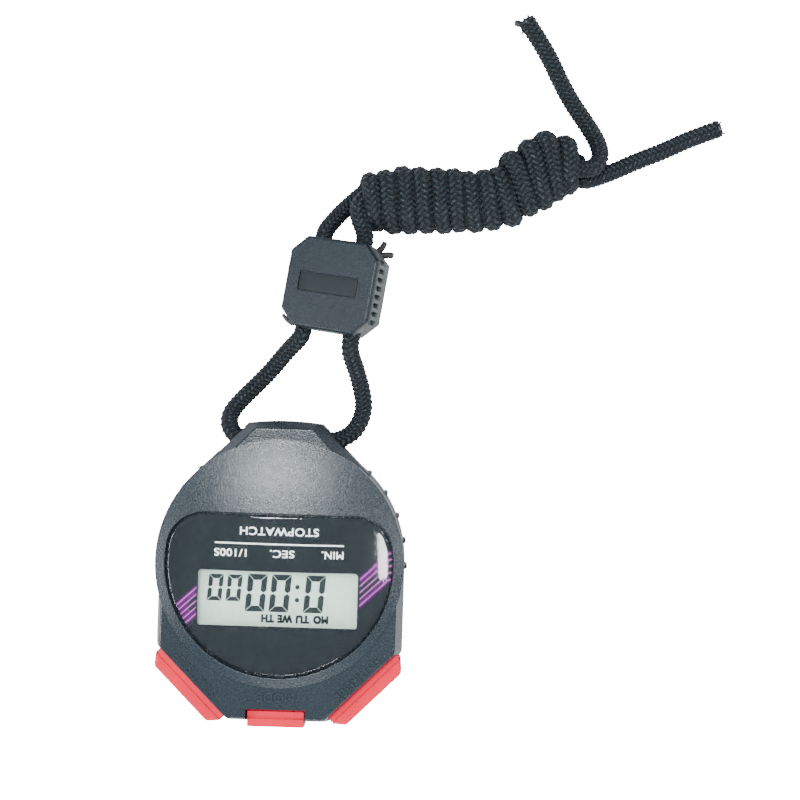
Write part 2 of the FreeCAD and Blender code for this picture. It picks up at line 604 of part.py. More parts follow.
def button(name):
    """Moulded cap with its retaining flange and the stem that pushes the contact leaf."""
    form = BUTTON_SHAPE[name]
    half, proud, z0, z1 = form["half"], form["proud"], form["z0"], form["z1"]
    inner = -FLANGE_DEPTH - FLANGE_T
    if name == "mode":
        side = [(inner, z0), (proud - 0.5, z0), (proud, z0 + 0.8), (proud, PART_Z), (0.35, z1),
                (-1.7, z1), (-1.7, z1 - 0.5), (inner + 1.0, z1 - 0.5)]
        profile = Part.makePolygon([V(x, -half, z) for x, z in side + side[:1]])
        cap = Part.Face(profile).extrude(V(0, 2 * half, 0))
        ends = [edge for edge in cap.Edges
                if edge.BoundBox.XMin > -0.4 and edge.BoundBox.YLength < TINY]
        cap = cap.makeFillet(MODE_END_R, ends)
    else:
        plan = [(inner, -half), (CAP_SIDE, -half), (proud, -half + END_IN), (proud, half - END_IN),
                (CAP_SIDE, half), (inner, half)]
        wire = rounded_wire(plan, CAP_CORNERS, z0)
        cap = prism(wire, z1 - z0)
        rims = [edge for edge in cap.Edges if edge.BoundBox.ZLength < TINY
                and edge.BoundBox.XMin > 0.5 and edge.BoundBox.YLength > TINY]
        cap = cap.makeFillet(CAP_RIM_R, rims)
        groove = box(*GROOVE, -half - 1, half + 1, z0 - 1, z1 + 1).cut(
            box(0, 1, GROOVE_DEPTH - half, half - GROOVE_DEPTH, z0 + GROOVE_DEPTH, z1 - GROOVE_DEPTH))
        cap = cap.cut(groove)
    reach = half + form["lip"]
    flange = box(inner, -FLANGE_DEPTH, -reach, reach, *FLANGE_Z)
    stem = box(-STEM_TIP, inner + 0.1, -STEM_W / 2, STEM_W / 2, STEM_Z[0], STEM_Z[1])
    return to_side(fuse([cap, flange, stem]), name)


def contact_leaf(name):
    """Spring-steel contact leaf that stands on the board behind the button's stem."""
    face = -STEM_TIP - LEAF_GAP
    blade = box(face - LEAF_T, face, -LEAF_HALF, LEAF_HALF, BOARD_TOP, LEAF_TOP_Z)
    foot = box(face - LEAF_FOOT, face, LEAF_HALF - LEAF_T, LEAF_HALF, BOARD_TOP, LEAF_TOP_Z)
    return to_side(fuse([blade, foot]), name)


def contact_posts():
    """Terminals that the leaves touch when a button is pressed."""
    posts = []
    for name in BUTTON_SHAPE:
        near = -STEM_TIP - LEAF_GAP - LEAF_T - TERMINAL_GAP
        posts.append(to_side(box(near - TERMINAL_T, near, -TERMINAL_HALF, TERMINAL_HALF,
                                 BOARD_TOP, TERMINAL_TOP_Z), name))
    return Part.makeCompound(posts)


# ---- cord -------------------------------------------------------------------------------------

def tube(name, points, radius):
    """Round tube along straight runs joined by tangent arcs; prints its radii and length."""
    nodes = [V(*p) for p in points]
    edges, length, radii = [], 0.0, []
    here = nodes[0]
    for i in range(1, len(nodes) - 1):
        back = nodes[i - 1] - nodes[i]
        ahead = nodes[i + 1] - nodes[i]
        reach = ARC_SHARE * min(back.Length, ahead.Length)
        half_turn = (math.pi - back.getAngle(ahead)) / 2
        bend = reach / math.tan(half_turn)
        back.normalize()
        ahead.normalize()
        start = nodes[i] + back * reach
        end = nodes[i] + ahead * reach
        inward = (back + ahead).normalize()
        middle = nodes[i] + inward * (bend / math.cos(half_turn) - bend)
        edges.append(Part.LineSegment(here, start).toShape())
        edges.append(Part.Arc(start, middle, end).toShape())
        length += (start - here).Length + 2 * half_turn * bend
        radii.append(round(bend, 1))
        here = end
    edges.append(Part.LineSegment(here, nodes[-1]).toShape())
    length += (nodes[-1] - here).Length
    path = Part.Wire(edges)
    section = Part.Wire(Part.makeCircle(radius, nodes[0], nodes[1] - nodes[0]))
    pipe = path.makePipeShell([section], True, False)
    ratio = pipe.Volume / (math.pi * radius ** 2 * length)
    print(f"{name}: length {length:.1f} mm, radii {radii}, volume ratio {ratio:.4f}, valid {pipe.isValid()}")
    return pipe


def slider_axes():
    roll = math.radians(SLIDER_ROLL)
    turn = math.radians(SLIDER_TURN)
    across = V(math.cos(roll) * math.cos(turn), math.cos(roll) * math.sin(turn), -math.sin(roll))
    along = V(-math.sin(turn), math.cos(turn), 0)
    return across, along


def channel_end(side, end):
    """Centre of a channel's mouth: side -1 or 1 across, end 1 towards the watch, -1 away."""
    across, along = slider_axes()
    reach = CHANNEL_NEAR_X if end > 0 else CHANNEL_FAR_X
    return SLIDER_CENTRE + across * (side * reach) + along * (end * SLIDER_L / 2)


def near_channel(side, end, distance):
    """Point in line with a channel, outside its mouth."""
    along = (channel_end(side, 1) - channel_end(side, -1)).normalize()
    p = channel_end(side, end) + along * (end * distance)
    return (p.x, p.y, p.z)


def dimple(side, y, z):
    """Upright hollow with rounded ends in one of the slider's sides."""
    outside = SLIDER_W / 2 + 1.0
    x0, x1 = sorted((side * outside, side * (SLIDER_W / 2 - DIMPLE_DEPTH)))
    ends = [Part.makeCylinder(DIMPLE_R, x1 - x0, V(x0, y, z + rise), V(1, 0, 0))
            for rise in (-DIMPLE_TALL, DIMPLE_TALL)]
    return fuse([box(x0, x1, y - DIMPLE_R, y + DIMPLE_R, z - DIMPLE_TALL, z + DIMPLE_TALL)] + ends)


def slider_half(z0, z1, front):
    """One moulded half of the slider, made flat about the origin and put in its place."""
    half_w, half_l, c = SLIDER_W / 2, SLIDER_L / 2, SLIDER_CORNER
    plan = [(half_w - c, -half_l), (half_w, c - half_l), (half_w, half_l - c), (half_w - c, half_l),
            (c - half_w, half_l), (-half_w, half_l - c), (-half_w, c - half_l), (c - half_w, -half_l)]
    body = prism(rounded_wire(plan, [1.0] * 8, z0), z1 - z0)
    face_z = z1 if front else z0
    rim = [edge for edge in body.Edges
           if abs(edge.BoundBox.ZMax - face_z) < TINY and edge.BoundBox.ZLength < TINY]
    body = body.makeFillet(SLIDER_RIM_R, rim)
    if front:
        slot_w, slot_l, depth = PANEL_SLOT
        body = body.cut(centred_box(PANEL_X, 0.0, slot_w, slot_l, z1 - depth, z1 + 1))
    else:
        room = half_l - c
        for k in range(DIMPLES):
            y = -room + 2 * room * k / (DIMPLES - 1)
            body = cut_all(body, [dimple(side, y, DIMPLE_Z) for side in (-1, 1)])
    body.rotate(V(0, 0, 0), V(0, 1, 0), SLIDER_ROLL)
    body.rotate(V(0, 0, 0), V(0, 0, 1), SLIDER_TURN)
    body.translate(SLIDER_CENTRE)
    for side in (-1, 1):
        start = V(*near_channel(side, -1, 5.0))
        end = V(*near_channel(side, 1, 5.0))
        body = body.cut(Part.makeCylinder(CHANNEL_R, (end - start).Length, start, end - start))
    return body


LEFT_UPPER = [(-9.6, -32.0, 8.6), (-13.4, -32.0, 8.6), (-17.2, -33.8, 7.6), (-19.6, -37.2, 6.6),
              (-20.5, -41.6, 5.6), (-19.5, -46.4, 5.6), (-18.0, -51.2, 7.4), near_channel(-1, 1, 4.2),
              near_channel(-1, 1, 0.0)]
RIGHT_UPPER = [(9.6, -32.0, 8.6), (11.9, -32.0, 8.6), (14.3, -33.4, 8.2), (15.6, -35.9, 7.0),
               (15.3, -38.8, 5.6), (12.8, -42.2, 4.2), (8.8, -46.4, 3.0), (4.6, -51.0, 2.7),
               (0.6, -56.0, 4.4), near_channel(1, 1, 2.6), near_channel(1, 1, 0.0)]
LEFT_LOWER = [near_channel(-1, -1, 0.0), near_channel(-1, -1, 2.8), (-17.4, -91.6, 11.2),
              (-17.5, -95.0, 10.2), (-19.9, -97.4, 8.8), (-23.4, -97.9, 7.8)]
RIGHT_LOWER = [near_channel(1, -1, 0.0), near_channel(1, -1, 2.6), (-12.2, -92.9, 5.2),
               (-15.8, -96.6, 4.2), (-19.4, -99.9, 3.6)]
END_A = [(-72.0, -103.2, 4.6), (-76.4, -103.7, 4.4), (-81.0, -105.0, 3.4), (-86.4, -107.4, 2.6),
         (-92.6, -110.4, 2.4), (-99.4, -113.2, 2.4), (-106.4, -116.8, 2.3), (-114.1, -119.7, 2.35)]
END_B = [(-72.0, -106.4, 9.2), (-75.8, -106.2, 9.1), (-79.8, -106.7, 8.4), (-81.8, -110.3, 6.6),
         (-80.8, -114.8, 4.4), (-78.0, -119.7, 3.0), (-74.3, -124.9, 2.4), (-70.9, -130.6, 2.4),
         (-67.9, -136.8, 2.3), (-64.4, -142.4, 2.4), (-60.9, -147.4, 2.35)]


def cord_parts():
    parts = {
        "cord_in_lug": tube("cord_in_lug", [(-9.6, TUNNEL_Y, TUNNEL_Z), (9.6, TUNNEL_Y, TUNNEL_Z)], CORD_R),
        "cord_left_upper": tube("cord_left_upper", LEFT_UPPER, CORD_R),
        "cord_right_upper": tube("cord_right_upper", RIGHT_UPPER, CORD_R),
        "cord_left_lower": tube("cord_left_lower", LEFT_LOWER, CORD_R),
        "cord_right_lower": tube("cord_right_lower", RIGHT_LOWER, CORD_R),
        "cord_end_a": tube("cord_end_a", END_A, CORD_R),
        "cord_end_b": tube("cord_end_b", END_B, CORD_R),
    }
    for name, side in (("cord_left_in_slider", -1), ("cord_right_in_slider", 1)):
        parts[name] = tube(name, [channel_end(side, 1), channel_end(side, -1)], CORD_R)
    return parts


def cord_hank():
    """Outer shape of the wound part of the cord, with the bulge at its far end."""
    body = prism(rounded_wire(HANK_PLAN, HANK_CORNERS, 0.0), HANK_H)
    rims = [edge for edge in body.Edges if edge.BoundBox.ZLength < TINY]
    return body.makeFillet(HANK_RIM_R, rims)


def main():
    os.makedirs("parts", exist_ok=True)
    parts = {"front_shell": front_shell(), "back_shell": back_shell(), "lens": lens(),
             "lens_adhesive": lens_adhesive(), "face_mask": face_mask(),
             "circuit_board": circuit_board(), "chip_blob": chip_blob()}
    parts.update(display_parts())
    parts.update(battery_parts())
    crystal_at = V(*CRYSTAL_AT, BOARD_Z - CRYSTAL_R - 0.05)
    parts["crystal_can"] = Part.makeCylinder(CRYSTAL_R, CRYSTAL_L, crystal_at, V(0, 1, 0))
    parts["board_capacitors"] = small_parts(CAPACITORS_AT, *CAPACITOR)
    parts["board_resistors"] = small_parts(RESISTORS_AT, *RESISTOR)
    disc_top = FLOOR_Z + PIEZO_T
    parts["piezo_disc"] = rod(PIEZO_X, PIEZO_Y, PIEZO_R, FLOOR_Z, disc_top)
    parts["piezo_ceramic"] = rod(PIEZO_X, PIEZO_Y, CERAMIC_R, disc_top, disc_top + CERAMIC_T)
    parts["buzzer_wire_red"] = tube("buzzer_wire_red", RED_WIRE, WIRE_R)
    parts["buzzer_wire_black"] = tube("buzzer_wire_black", BLACK_WIRE, WIRE_R)
    parts["case_screws"] = Part.makeCompound([screw(x, y, *CASE_SCREW) for x, y in CASE_SCREWS])
    parts["board_screws"] = Part.makeCompound([screw(x, y, *BOARD_SCREW) for x, y in BOARD_SCREWS])
    for name in BUTTON_SHAPE:
        parts[f"{name}_button"] = button(name)
        parts[f"{name}_leaf"] = contact_leaf(name)
    parts["contact_posts"] = contact_posts()
    parts["slider_front"] = slider_half(SLIDER_SPLIT, SLIDER_FRONT_T, True)
    parts["slider_back"] = slider_half(-SLIDER_BACK_T, SLIDER_SPLIT, False)
    parts.update(cord_parts())
    parts["cord_hank"] = cord_hank()
    for node, shape in parts.items():
        if not shape.isValid() or not shape.Solids:
            print("NOT VALID:", node)
        shape.exportStep(f"parts/{node}.step")
    print(len(parts), "nodes")


main()
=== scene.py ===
"""Looks of the digital stopwatch and its neck cord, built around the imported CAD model."""
import json
import math
import random

import bpy
import numpy as np
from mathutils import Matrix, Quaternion, Vector


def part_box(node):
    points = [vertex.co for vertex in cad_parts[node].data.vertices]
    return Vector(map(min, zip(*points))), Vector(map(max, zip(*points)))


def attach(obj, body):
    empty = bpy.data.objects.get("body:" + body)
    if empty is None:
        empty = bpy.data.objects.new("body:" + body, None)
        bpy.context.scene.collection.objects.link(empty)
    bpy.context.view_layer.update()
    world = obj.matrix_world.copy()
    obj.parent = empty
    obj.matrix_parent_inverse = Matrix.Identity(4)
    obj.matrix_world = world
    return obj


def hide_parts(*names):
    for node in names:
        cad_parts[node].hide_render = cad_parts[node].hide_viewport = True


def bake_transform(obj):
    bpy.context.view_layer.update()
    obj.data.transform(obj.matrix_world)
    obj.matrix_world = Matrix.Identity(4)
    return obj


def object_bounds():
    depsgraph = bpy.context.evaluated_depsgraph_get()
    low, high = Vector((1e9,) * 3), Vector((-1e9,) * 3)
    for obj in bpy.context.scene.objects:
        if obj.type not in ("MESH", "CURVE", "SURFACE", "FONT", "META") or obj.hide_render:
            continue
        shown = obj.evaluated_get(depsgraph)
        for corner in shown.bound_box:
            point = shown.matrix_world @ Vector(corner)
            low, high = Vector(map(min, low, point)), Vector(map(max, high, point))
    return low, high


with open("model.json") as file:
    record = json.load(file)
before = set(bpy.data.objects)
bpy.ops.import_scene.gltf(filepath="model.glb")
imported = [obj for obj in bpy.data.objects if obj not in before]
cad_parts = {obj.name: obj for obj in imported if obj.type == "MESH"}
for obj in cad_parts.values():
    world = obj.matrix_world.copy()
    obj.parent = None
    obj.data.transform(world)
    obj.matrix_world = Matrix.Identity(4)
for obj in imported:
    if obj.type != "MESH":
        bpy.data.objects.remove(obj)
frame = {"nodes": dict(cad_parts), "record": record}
CAD_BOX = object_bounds()
NODES = frame["nodes"]
MM = 0.001
WATCH = "watch"


def node_top(node):
    """Highest point of a CAD node, in millimetres."""
    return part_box(node)[1].z / MM


def mm(x, y, z):
    """A point given in millimetres, in metres."""
    return Vector((x * MM, y * MM, z * MM))


# ---- node trees ---------------------------------------------------------------------------

class Tree:
    """Short way to write a material's nodes."""

    def __init__(self, name):
        self.material = bpy.data.materials.new(name)
        self.material.use_nodes = True
        self.nodes = self.material.node_tree.nodes
        self.links = self.material.node_tree.links
        self.nodes.clear()
        self.output = self.nodes.new("ShaderNodeOutputMaterial")

    def node(self, kind, settings=None, **inputs):
        """New node. Settings are its properties, inputs are values or links of its sockets."""
        made = self.nodes.new("ShaderNode" + kind)
        for key, value in (settings or {}).items():
            setattr(made, key, value)
        for key, value in inputs.items():
            self.feed(made.inputs[key.replace("_", " ")], value)
        return made

    def feed(self, socket, value):
        if isinstance(value, bpy.types.NodeSocket):
            self.links.new(value, socket)
        else:
            socket.default_value = value

    def finish(self, surface):
        self.links.new(surface, self.output.inputs["Surface"])
        return self.material

    def position(self):
        return self.node("NewGeometry").outputs["Position"]

    def noise(self, scale, detail=2.0, roughness=0.5, vector=None):
        vector = vector or self.position()
        return self.node("TexNoise", Vector=vector, Scale=scale, Detail=detail,
                         Roughness=roughness).outputs["Fac"]

    def ramp(self, fac, stops):
        """Colour ramp through (place, colour) stops."""
        made = self.node("ValToRGB", Fac=fac)
        points = made.color_ramp.elements
        while len(points) < len(stops):
            points.new(0.5)
        for point, (place, colour) in zip(points, stops):
            point.position = place
            point.color = (*colour, 1.0)
        return made.outputs["Color"]

    def range(self, value, low, high, to_low, to_high):
        made = self.node("MapRange", Value=value)
        for index, number in enumerate((low, high, to_low, to_high), start=1):
            made.inputs[index].default_value = number
        return made.outputs["Result"]

    def math(self, operation, a, b=0.0):
        made = self.node("Math", {"operation": operation})
        self.feed(made.inputs[0], a)
        self.feed(made.inputs[1], b)
        return made.outputs["Value"]

    def mix(self, fac, a, b, blend="MIX"):
        made = self.node("Mix", {"data_type": "RGBA", "blend_type": blend})
        self.feed(made.inputs["Factor"], fac)
        for socket, value in ((made.inputs[6], a), (made.inputs[7], b)):
            self.feed(socket, (*value, 1.0) if isinstance(value, tuple) and len(value) == 3 else value)
        return made.outputs[2]

    def choose(self, fac, when_one, when_zero):
        """Number that is when_one where fac is 1, and when_zero where it is 0."""
        made = self.node("Mix", {"data_type": "FLOAT"})
        self.feed(made.inputs["Factor"], fac)
        self.feed(made.inputs[2], when_zero)
        self.feed(made.inputs[3], when_one)
        return made.outputs[0]

    def arch(self, value, power):
        """Rises from 0 to 1 and falls back as value goes from 0 to 1."""
        wave = self.math("SINE", self.math("MULTIPLY", value, math.pi))
        return self.math("POWER", self.math("MAXIMUM", wave, 0.0), power)

    def bump(self, height, strength, distance, normal=None):
        made = self.node("Bump", Height=height, Strength=strength, Distance=distance)
        if normal is not None:
            self.feed(made.inputs["Normal"], normal)
        return made.outputs["Normal"]

    def principled(self, **inputs):
        return self.node("BsdfPrincipled", None, **inputs)


def grained_plastic(name, dark, light, roughness=0.42, glint_strength=0.3, grain=0.07, gloss=0.5):
    """Moulded plastic with a fine texture eroded by electric sparks, and painted glints: brightened specks
    that stand in for light caught by the grain.
    """
    t = Tree(name)
    broad = t.noise(55.0, 3.0)
    fine = t.noise(2300.0, 2.0, 0.6)
    glint_speckle = t.noise(3600.0, 1.0)
    base = t.ramp(broad, [(0.3, dark), (0.7, light)])
    # Painted glints: random specks lifted towards four times the light colour, for light caught by the grain.
    painted_glint = t.range(glint_speckle, 0.52, 0.74, 0.0, glint_strength)
    colour = t.mix(painted_glint, base, tuple(c * 4.0 for c in light))
    shiny = t.range(fine, 0.3, 0.7, roughness - 0.04, roughness + 0.06)
    shader = t.principled(Base_Color=colour, Roughness=shiny, Normal=t.bump(fine, 0.9, grain * MM))
    shader.inputs["Specular IOR Level"].default_value = gloss
    return t.finish(shader.outputs["BSDF"])


def satin_plastic(name, dark, light, roughness=0.35, glow=0.0, gloss=0.5):
    """Smooth moulded plastic with faint flow marks."""
    t = Tree(name)
    broad = t.noise(120.0, 3.0)
    fine = t.noise(1800.0, 2.0)
    colour = t.ramp(broad, [(0.3, dark), (0.7, light)])
    shader = t.principled(Base_Color=colour, Normal=t.bump(fine, 0.25, 0.02 * MM),
                          Roughness=t.range(fine, 0.3, 0.7, roughness - 0.05, roughness + 0.08))
    shader.inputs["Specular IOR Level"].default_value = gloss
    shader.inputs["Subsurface Weight"].default_value = glow
    shader.inputs["Subsurface Scale"].default_value = 1.2 * MM
    return t.finish(shader.outputs["BSDF"])


def clear_window(name, tint):
    """Clear acrylic that bends light, and lets the lamps' light through to the print below it."""
    t = Tree(name)
    smear = t.noise(90.0, 2.0)
    shader = t.principled(Roughness=t.range(smear, 0.3, 0.8, 0.05, 0.07))
    shader.inputs["Base Color"].default_value = (*tint, 1.0)
    shader.inputs["Transmission Weight"].default_value = 1.0
    shader.inputs["IOR"].default_value = 1.42
    passing = t.node("BsdfTransparent")
    passing.inputs["Color"].default_value = (*tint, 1.0)
    rays = t.node("LightPath")
    both = t.node("MixShader", Fac=rays.outputs["Is Shadow Ray"])
    t.links.new(shader.outputs["BSDF"], both.inputs[1])
    t.links.new(passing.outputs["BSDF"], both.inputs[2])
    return t.finish(both.outputs["Shader"])


def thin_film(name, tint, gloss):
    """Flat clear plate or film: light goes straight through, and a little is mirrored."""
    t = Tree(name)
    smear = t.noise(60.0, 2.0)
    passing = t.node("BsdfTransparent")
    passing.inputs["Color"].default_value = (*tint, 1.0)
    mirror = t.node("BsdfGlossy", Roughness=t.range(smear, 0.3, 0.8, gloss, gloss + 0.05))
    share = t.node("Fresnel")
    share.inputs["IOR"].default_value = 1.35
    both = t.node("MixShader", Fac=share.outputs["Fac"])
    t.links.new(passing.outputs["BSDF"], both.inputs[1])
    t.links.new(mirror.outputs["BSDF"], both.inputs[2])
    return t.finish(both.outputs["Shader"])


def printed(name, colour, roughness=0.6, gloss=0.0):
    """Screen-printed ink: nearly even, with a slight mottle."""
    t = Tree(name)
    mottle = t.noise(900.0, 2.0)
    dark = tuple(c * 0.9 for c in colour)
    shader = t.principled(Base_Color=t.ramp(mottle, [(0.35, dark), (0.65, colour)]))
    shader.inputs["Roughness"].default_value = roughness
    shader.inputs["Specular IOR Level"].default_value = gloss
    return t.finish(shader.outputs["BSDF"])


def metal(name, colour, roughness=0.3):
    t = Tree(name)
    brushed = t.noise(1400.0, 3.0)
    stain = t.noise(160.0, 2.0)
    dark = tuple(c * 0.82 for c in colour)
    shader = t.principled(Base_Color=t.ramp(stain, [(0.3, dark), (0.7, colour)]),
                          Roughness=t.range(brushed, 0.3, 0.7, roughness - 0.08, roughness + 0.12),
                          Normal=t.bump(brushed, 0.15, 0.01 * MM))
    shader.inputs["Metallic"].default_value = 1.0
    return t.finish(shader.outputs["BSDF"])


def braid_material(name):
    """Yarns of the braid, drawn from the cord's UV map, whose squares are one yarn wide."""
    t = Tree(name)
    uv = t.node("SeparateXYZ", Vector=t.node("UVMap", {"uv_map": "braid"}).outputs["UV"])
    u = t.math("ADD", uv.outputs["X"], uv.outputs["Y"])
    v = t.math("SUBTRACT", uv.outputs["X"], uv.outputs["Y"])
    floor_u, floor_v = t.math("FLOOR", u), t.math("FLOOR", v)
    square = t.math("FLOORED_MODULO", t.math("ADD", floor_u, floor_v), 4.0)
    u_above = t.math("LESS_THAN", square, 1.5)
    across = t.choose(u_above, t.math("FRACT", u), t.math("FRACT", v))
    run_u = t.math("FLOORED_MODULO", t.math("ADD", floor_u, v), 4.0)
    run_v = t.math("SUBTRACT", t.math("FLOORED_MODULO", t.math("ADD", u, floor_v), 4.0), 2.0)
    along = t.math("MULTIPLY", t.choose(u_above, run_u, run_v), 0.5)
    crown = t.math("MULTIPLY", t.arch(across, 0.6), t.range(t.arch(along, 0.7), 0.0, 1.0, 0.3, 1.0))
    wobble = t.noise(900.0, 2.0)
    strands = t.math("SINE", t.math("ADD", t.math("MULTIPLY", across, 34.0), t.math("MULTIPLY", wobble, 9.0)))
    filament = t.range(strands, -1.0, 1.0, 0.0, 1.0)
    # Painted glints: bright flecks on the yarns' crowns, for light caught by single fibres.
    crown_glint_noise = t.noise(1900.0, 2.0, 0.6)
    crown_glint = t.math("MULTIPLY", t.range(crown_glint_noise, 0.56, 0.68, 0.0, 1.0), t.range(crown, 0.45, 0.95, 0.0, 1.0))
    # Painted shade and highlight: the valleys between yarns darker, the crowns lighter.
    colour = t.ramp(crown, [(0.1, BRAID_VALLEY_SHADE), (0.6, BRAID_MID), (1.0, BRAID_CROWN_HIGHLIGHT)])
    colour = t.mix(t.math("MULTIPLY", crown_glint, 0.85), colour, BRAID_GLINT)
    colour = t.mix(t.range(t.noise(240.0, 3.0), 0.4, 0.66, 0.0, 0.4), colour, BRAID_GREEN)
    height = t.math("ADD", crown, t.math("MULTIPLY", filament, 0.12))
    shader = t.principled(Base_Color=colour, Normal=t.bump(height, 0.9, 0.22 * MM))
    shader.inputs["Roughness"].default_value = 0.5
    shader.inputs["Specular IOR Level"].default_value = 0.22
    shader.inputs["Sheen Weight"].default_value = 0.04
    shader.inputs["Sheen Roughness"].default_value = 0.4
    return t.finish(shader.outputs["BSDF"])


# Braid colours: painted valley shade, the yarn's own middle colour, painted crown highlight, painted glints,
# and a random green tint.
BRAID_VALLEY_SHADE = (0.0012, 0.0016, 0.0026)
BRAID_MID = (0.0026, 0.0062, 0.0086)
BRAID_CROWN_HIGHLIGHT = (0.0066, 0.0136, 0.0196)
BRAID_GLINT = (0.0750, 0.0900, 0.1120)
BRAID_GREEN = (0.0040, 0.0058, 0.0068)
MATERIALS = {
    "case_plastic": grained_plastic("case_plastic", (0.0068, 0.0120, 0.0165), (0.0094, 0.0160, 0.0215),
                                    roughness=0.27, glint_strength=0.25),
    "button_plastic": satin_plastic("button_plastic", (0.68, 0.004, 0.028), (0.76, 0.006, 0.035),
                                    roughness=0.38, glow=0.15, gloss=0.25),
    # Lighter copy of the case plastic for the raised letters: painted light, so they look lit on the rim.
    "label_painted_light": grained_plastic("label_painted_light", (0.0092, 0.0162, 0.0223), (0.0127, 0.0216, 0.0290),
                                  roughness=0.29, glint_strength=0.25),
    "lens_clear": clear_window("lens_clear", (0.98, 0.985, 0.985)),
    "mask_print": printed("mask_print", (0.0068, 0.0092, 0.0105), 0.8),
    "white_ink": printed("white_ink", (0.88, 0.88, 0.88)),
    "purple_ink": printed("purple_ink", (0.052, 0.0008, 0.062)),
    "pink_ink": printed("pink_ink", (0.27, 0.070, 0.26)),
    "lcd_dark": printed("lcd_dark", (0.012, 0.017, 0.017), 0.5),
    "adhesive_tape": printed("adhesive_tape", (0.004, 0.004, 0.0045), 0.7),
    "lcd_glass": thin_film("lcd_glass", (0.985, 0.99, 0.985), 0.02),
    "lcd_film": printed("lcd_film", (0.52, 0.585, 0.50), 0.7),
    "lcd_polariser": printed("lcd_polariser", (0.44, 0.56, 0.47), 0.35, 0.3),
    "zebra_rubber": satin_plastic("zebra_rubber", (0.42, 0.36, 0.30), (0.5, 0.44, 0.38), 0.6),
    "bezel_plastic": satin_plastic("bezel_plastic", (0.010, 0.010, 0.011), (0.014, 0.014, 0.015), 0.45),
    "board": satin_plastic("board", (0.02, 0.16, 0.06), (0.03, 0.22, 0.08), 0.3),
    "epoxy": satin_plastic("epoxy", (0.008, 0.008, 0.009), (0.014, 0.014, 0.015), 0.25),
    "steel": metal("steel", (0.62, 0.62, 0.63), 0.28),
    "brass": metal("brass", (0.70, 0.50, 0.20), 0.3),
    "ceramic": satin_plastic("ceramic", (0.60, 0.58, 0.54), (0.68, 0.66, 0.62), 0.5),
    "wire_red": satin_plastic("wire_red", (0.45, 0.02, 0.02), (0.52, 0.03, 0.03), 0.35),
    "wire_black": satin_plastic("wire_black", (0.012, 0.012, 0.012), (0.02, 0.02, 0.02), 0.35),
    "cord_braid": braid_material("cord_braid"),
    "cord_melt": satin_plastic("cord_melt", (0.004, 0.004, 0.007), (0.009, 0.008, 0.012), 0.32),
    "slider_plastic": grained_plastic("slider_plastic", (0.0028, 0.0070, 0.0110), (0.0042, 0.0096, 0.0146),
                                      roughness=0.40, glint_strength=0.28, grain=0.10, gloss=0.35),
    # Darker plastic for the plate in the slider's recess: painted shade of the recess.
    "recess_shade_plastic": satin_plastic("recess_shade_plastic", (0.0030, 0.0062, 0.0088), (0.0044, 0.0082, 0.0116),
                                   roughness=0.45, gloss=0.3),
    "flash_plastic": satin_plastic("flash_plastic", (0.024, 0.020, 0.022), (0.038, 0.031, 0.034),
                                   roughness=0.45, gloss=0.3),
    "slider_back_plastic": grained_plastic("slider_back_plastic", (0.060, 0.070, 0.068),
                                           (0.085, 0.096, 0.094), roughness=0.5, glint_strength=0.1),
}


def dress_cad_nodes():
    """Gives every CAD node the material of its slot."""
    for part in frame["record"]["subparts"]:
        node = NODES[part["node"]]
        node.data.materials.clear()
        node.data.materials.append(MATERIALS[part["material_slot"]])


# ---- pieces -------------------------------------------------------------------------------

def settle(piece, material, body=WATCH):
    piece.data.materials.clear()
    piece.data.materials.append(MATERIALS[material])
    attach(piece, body)
    return piece


def loose_mesh(name, vertices, faces, crease=None):
    """Mesh in metres as a new object; edges sharper than crease degrees stay sharp."""
    data = bpy.data.meshes.new(name)
    data.from_pydata([tuple(v) for v in vertices], [], faces)
    data.validate()
    data.polygons.foreach_set("use_smooth", [True] * len(data.polygons))
    if crease is not None:
        data.set_sharp_from_angle(angle=math.radians(crease))
    piece = bpy.data.objects.new(name, data)
    bpy.context.scene.collection.objects.link(piece)
    return piece


def mesh_piece(name, vertices, faces, material, body=WATCH, crease=None):
    """Mesh in metres as a new piece that rides on a body."""
    return settle(loose_mesh(name, vertices, faces, crease), material, body)


def ring_faces(count, rings, closed_ends=False):
    """Quads between successive rings of count points; closed_ends adds a face over each end."""
    faces = []
    for i in range(rings - 1):
        for j in range(count):
            k = (j + 1) % count
            faces.append((i * count + j, i * count + k, (i + 1) * count + k, (i + 1) * count + j))
    if closed_ends:
        faces.append(tuple(range(count))[::-1])
        faces.append(tuple((rings - 1) * count + j for j in range(count)))
    return faces


# ---- window and its printing -----------------------------------------------------------------

SPHERE = 152.0          # radius of the dome
LENS_R, LENS_FLAT, LENS_CORNER = 29.2, -12.7, 9.6
LENS_SINK, LENS_T, LENS_EDGE = 0.15, 1.35, 0.55
WINDOW_RINGS, RIM_STEPS, PRINT_RINGS = 14, 6, 8
WINDOW_MIDDLE = (0.0, 8.0)
TOP_Z = node_top("lens") + LENS_SINK
PRINT_DROP = LENS_SINK + LENS_T + 0.13      # depth of the black print below the dome's surface
INK_DROP = PRINT_DROP - 0.07                # the coloured inks lie on its upper side
WINDOW = (-20.5, 20.8, 1.8, 16.5)           # clear opening over the display
WINDOW_CORNER = 1.0


def dome(x, y, drop):
    """Point at a given depth below the dome's surface."""
    return mm(x, y, TOP_Z - SPHERE + math.sqrt((SPHERE - drop) ** 2 - x * x - y * y))


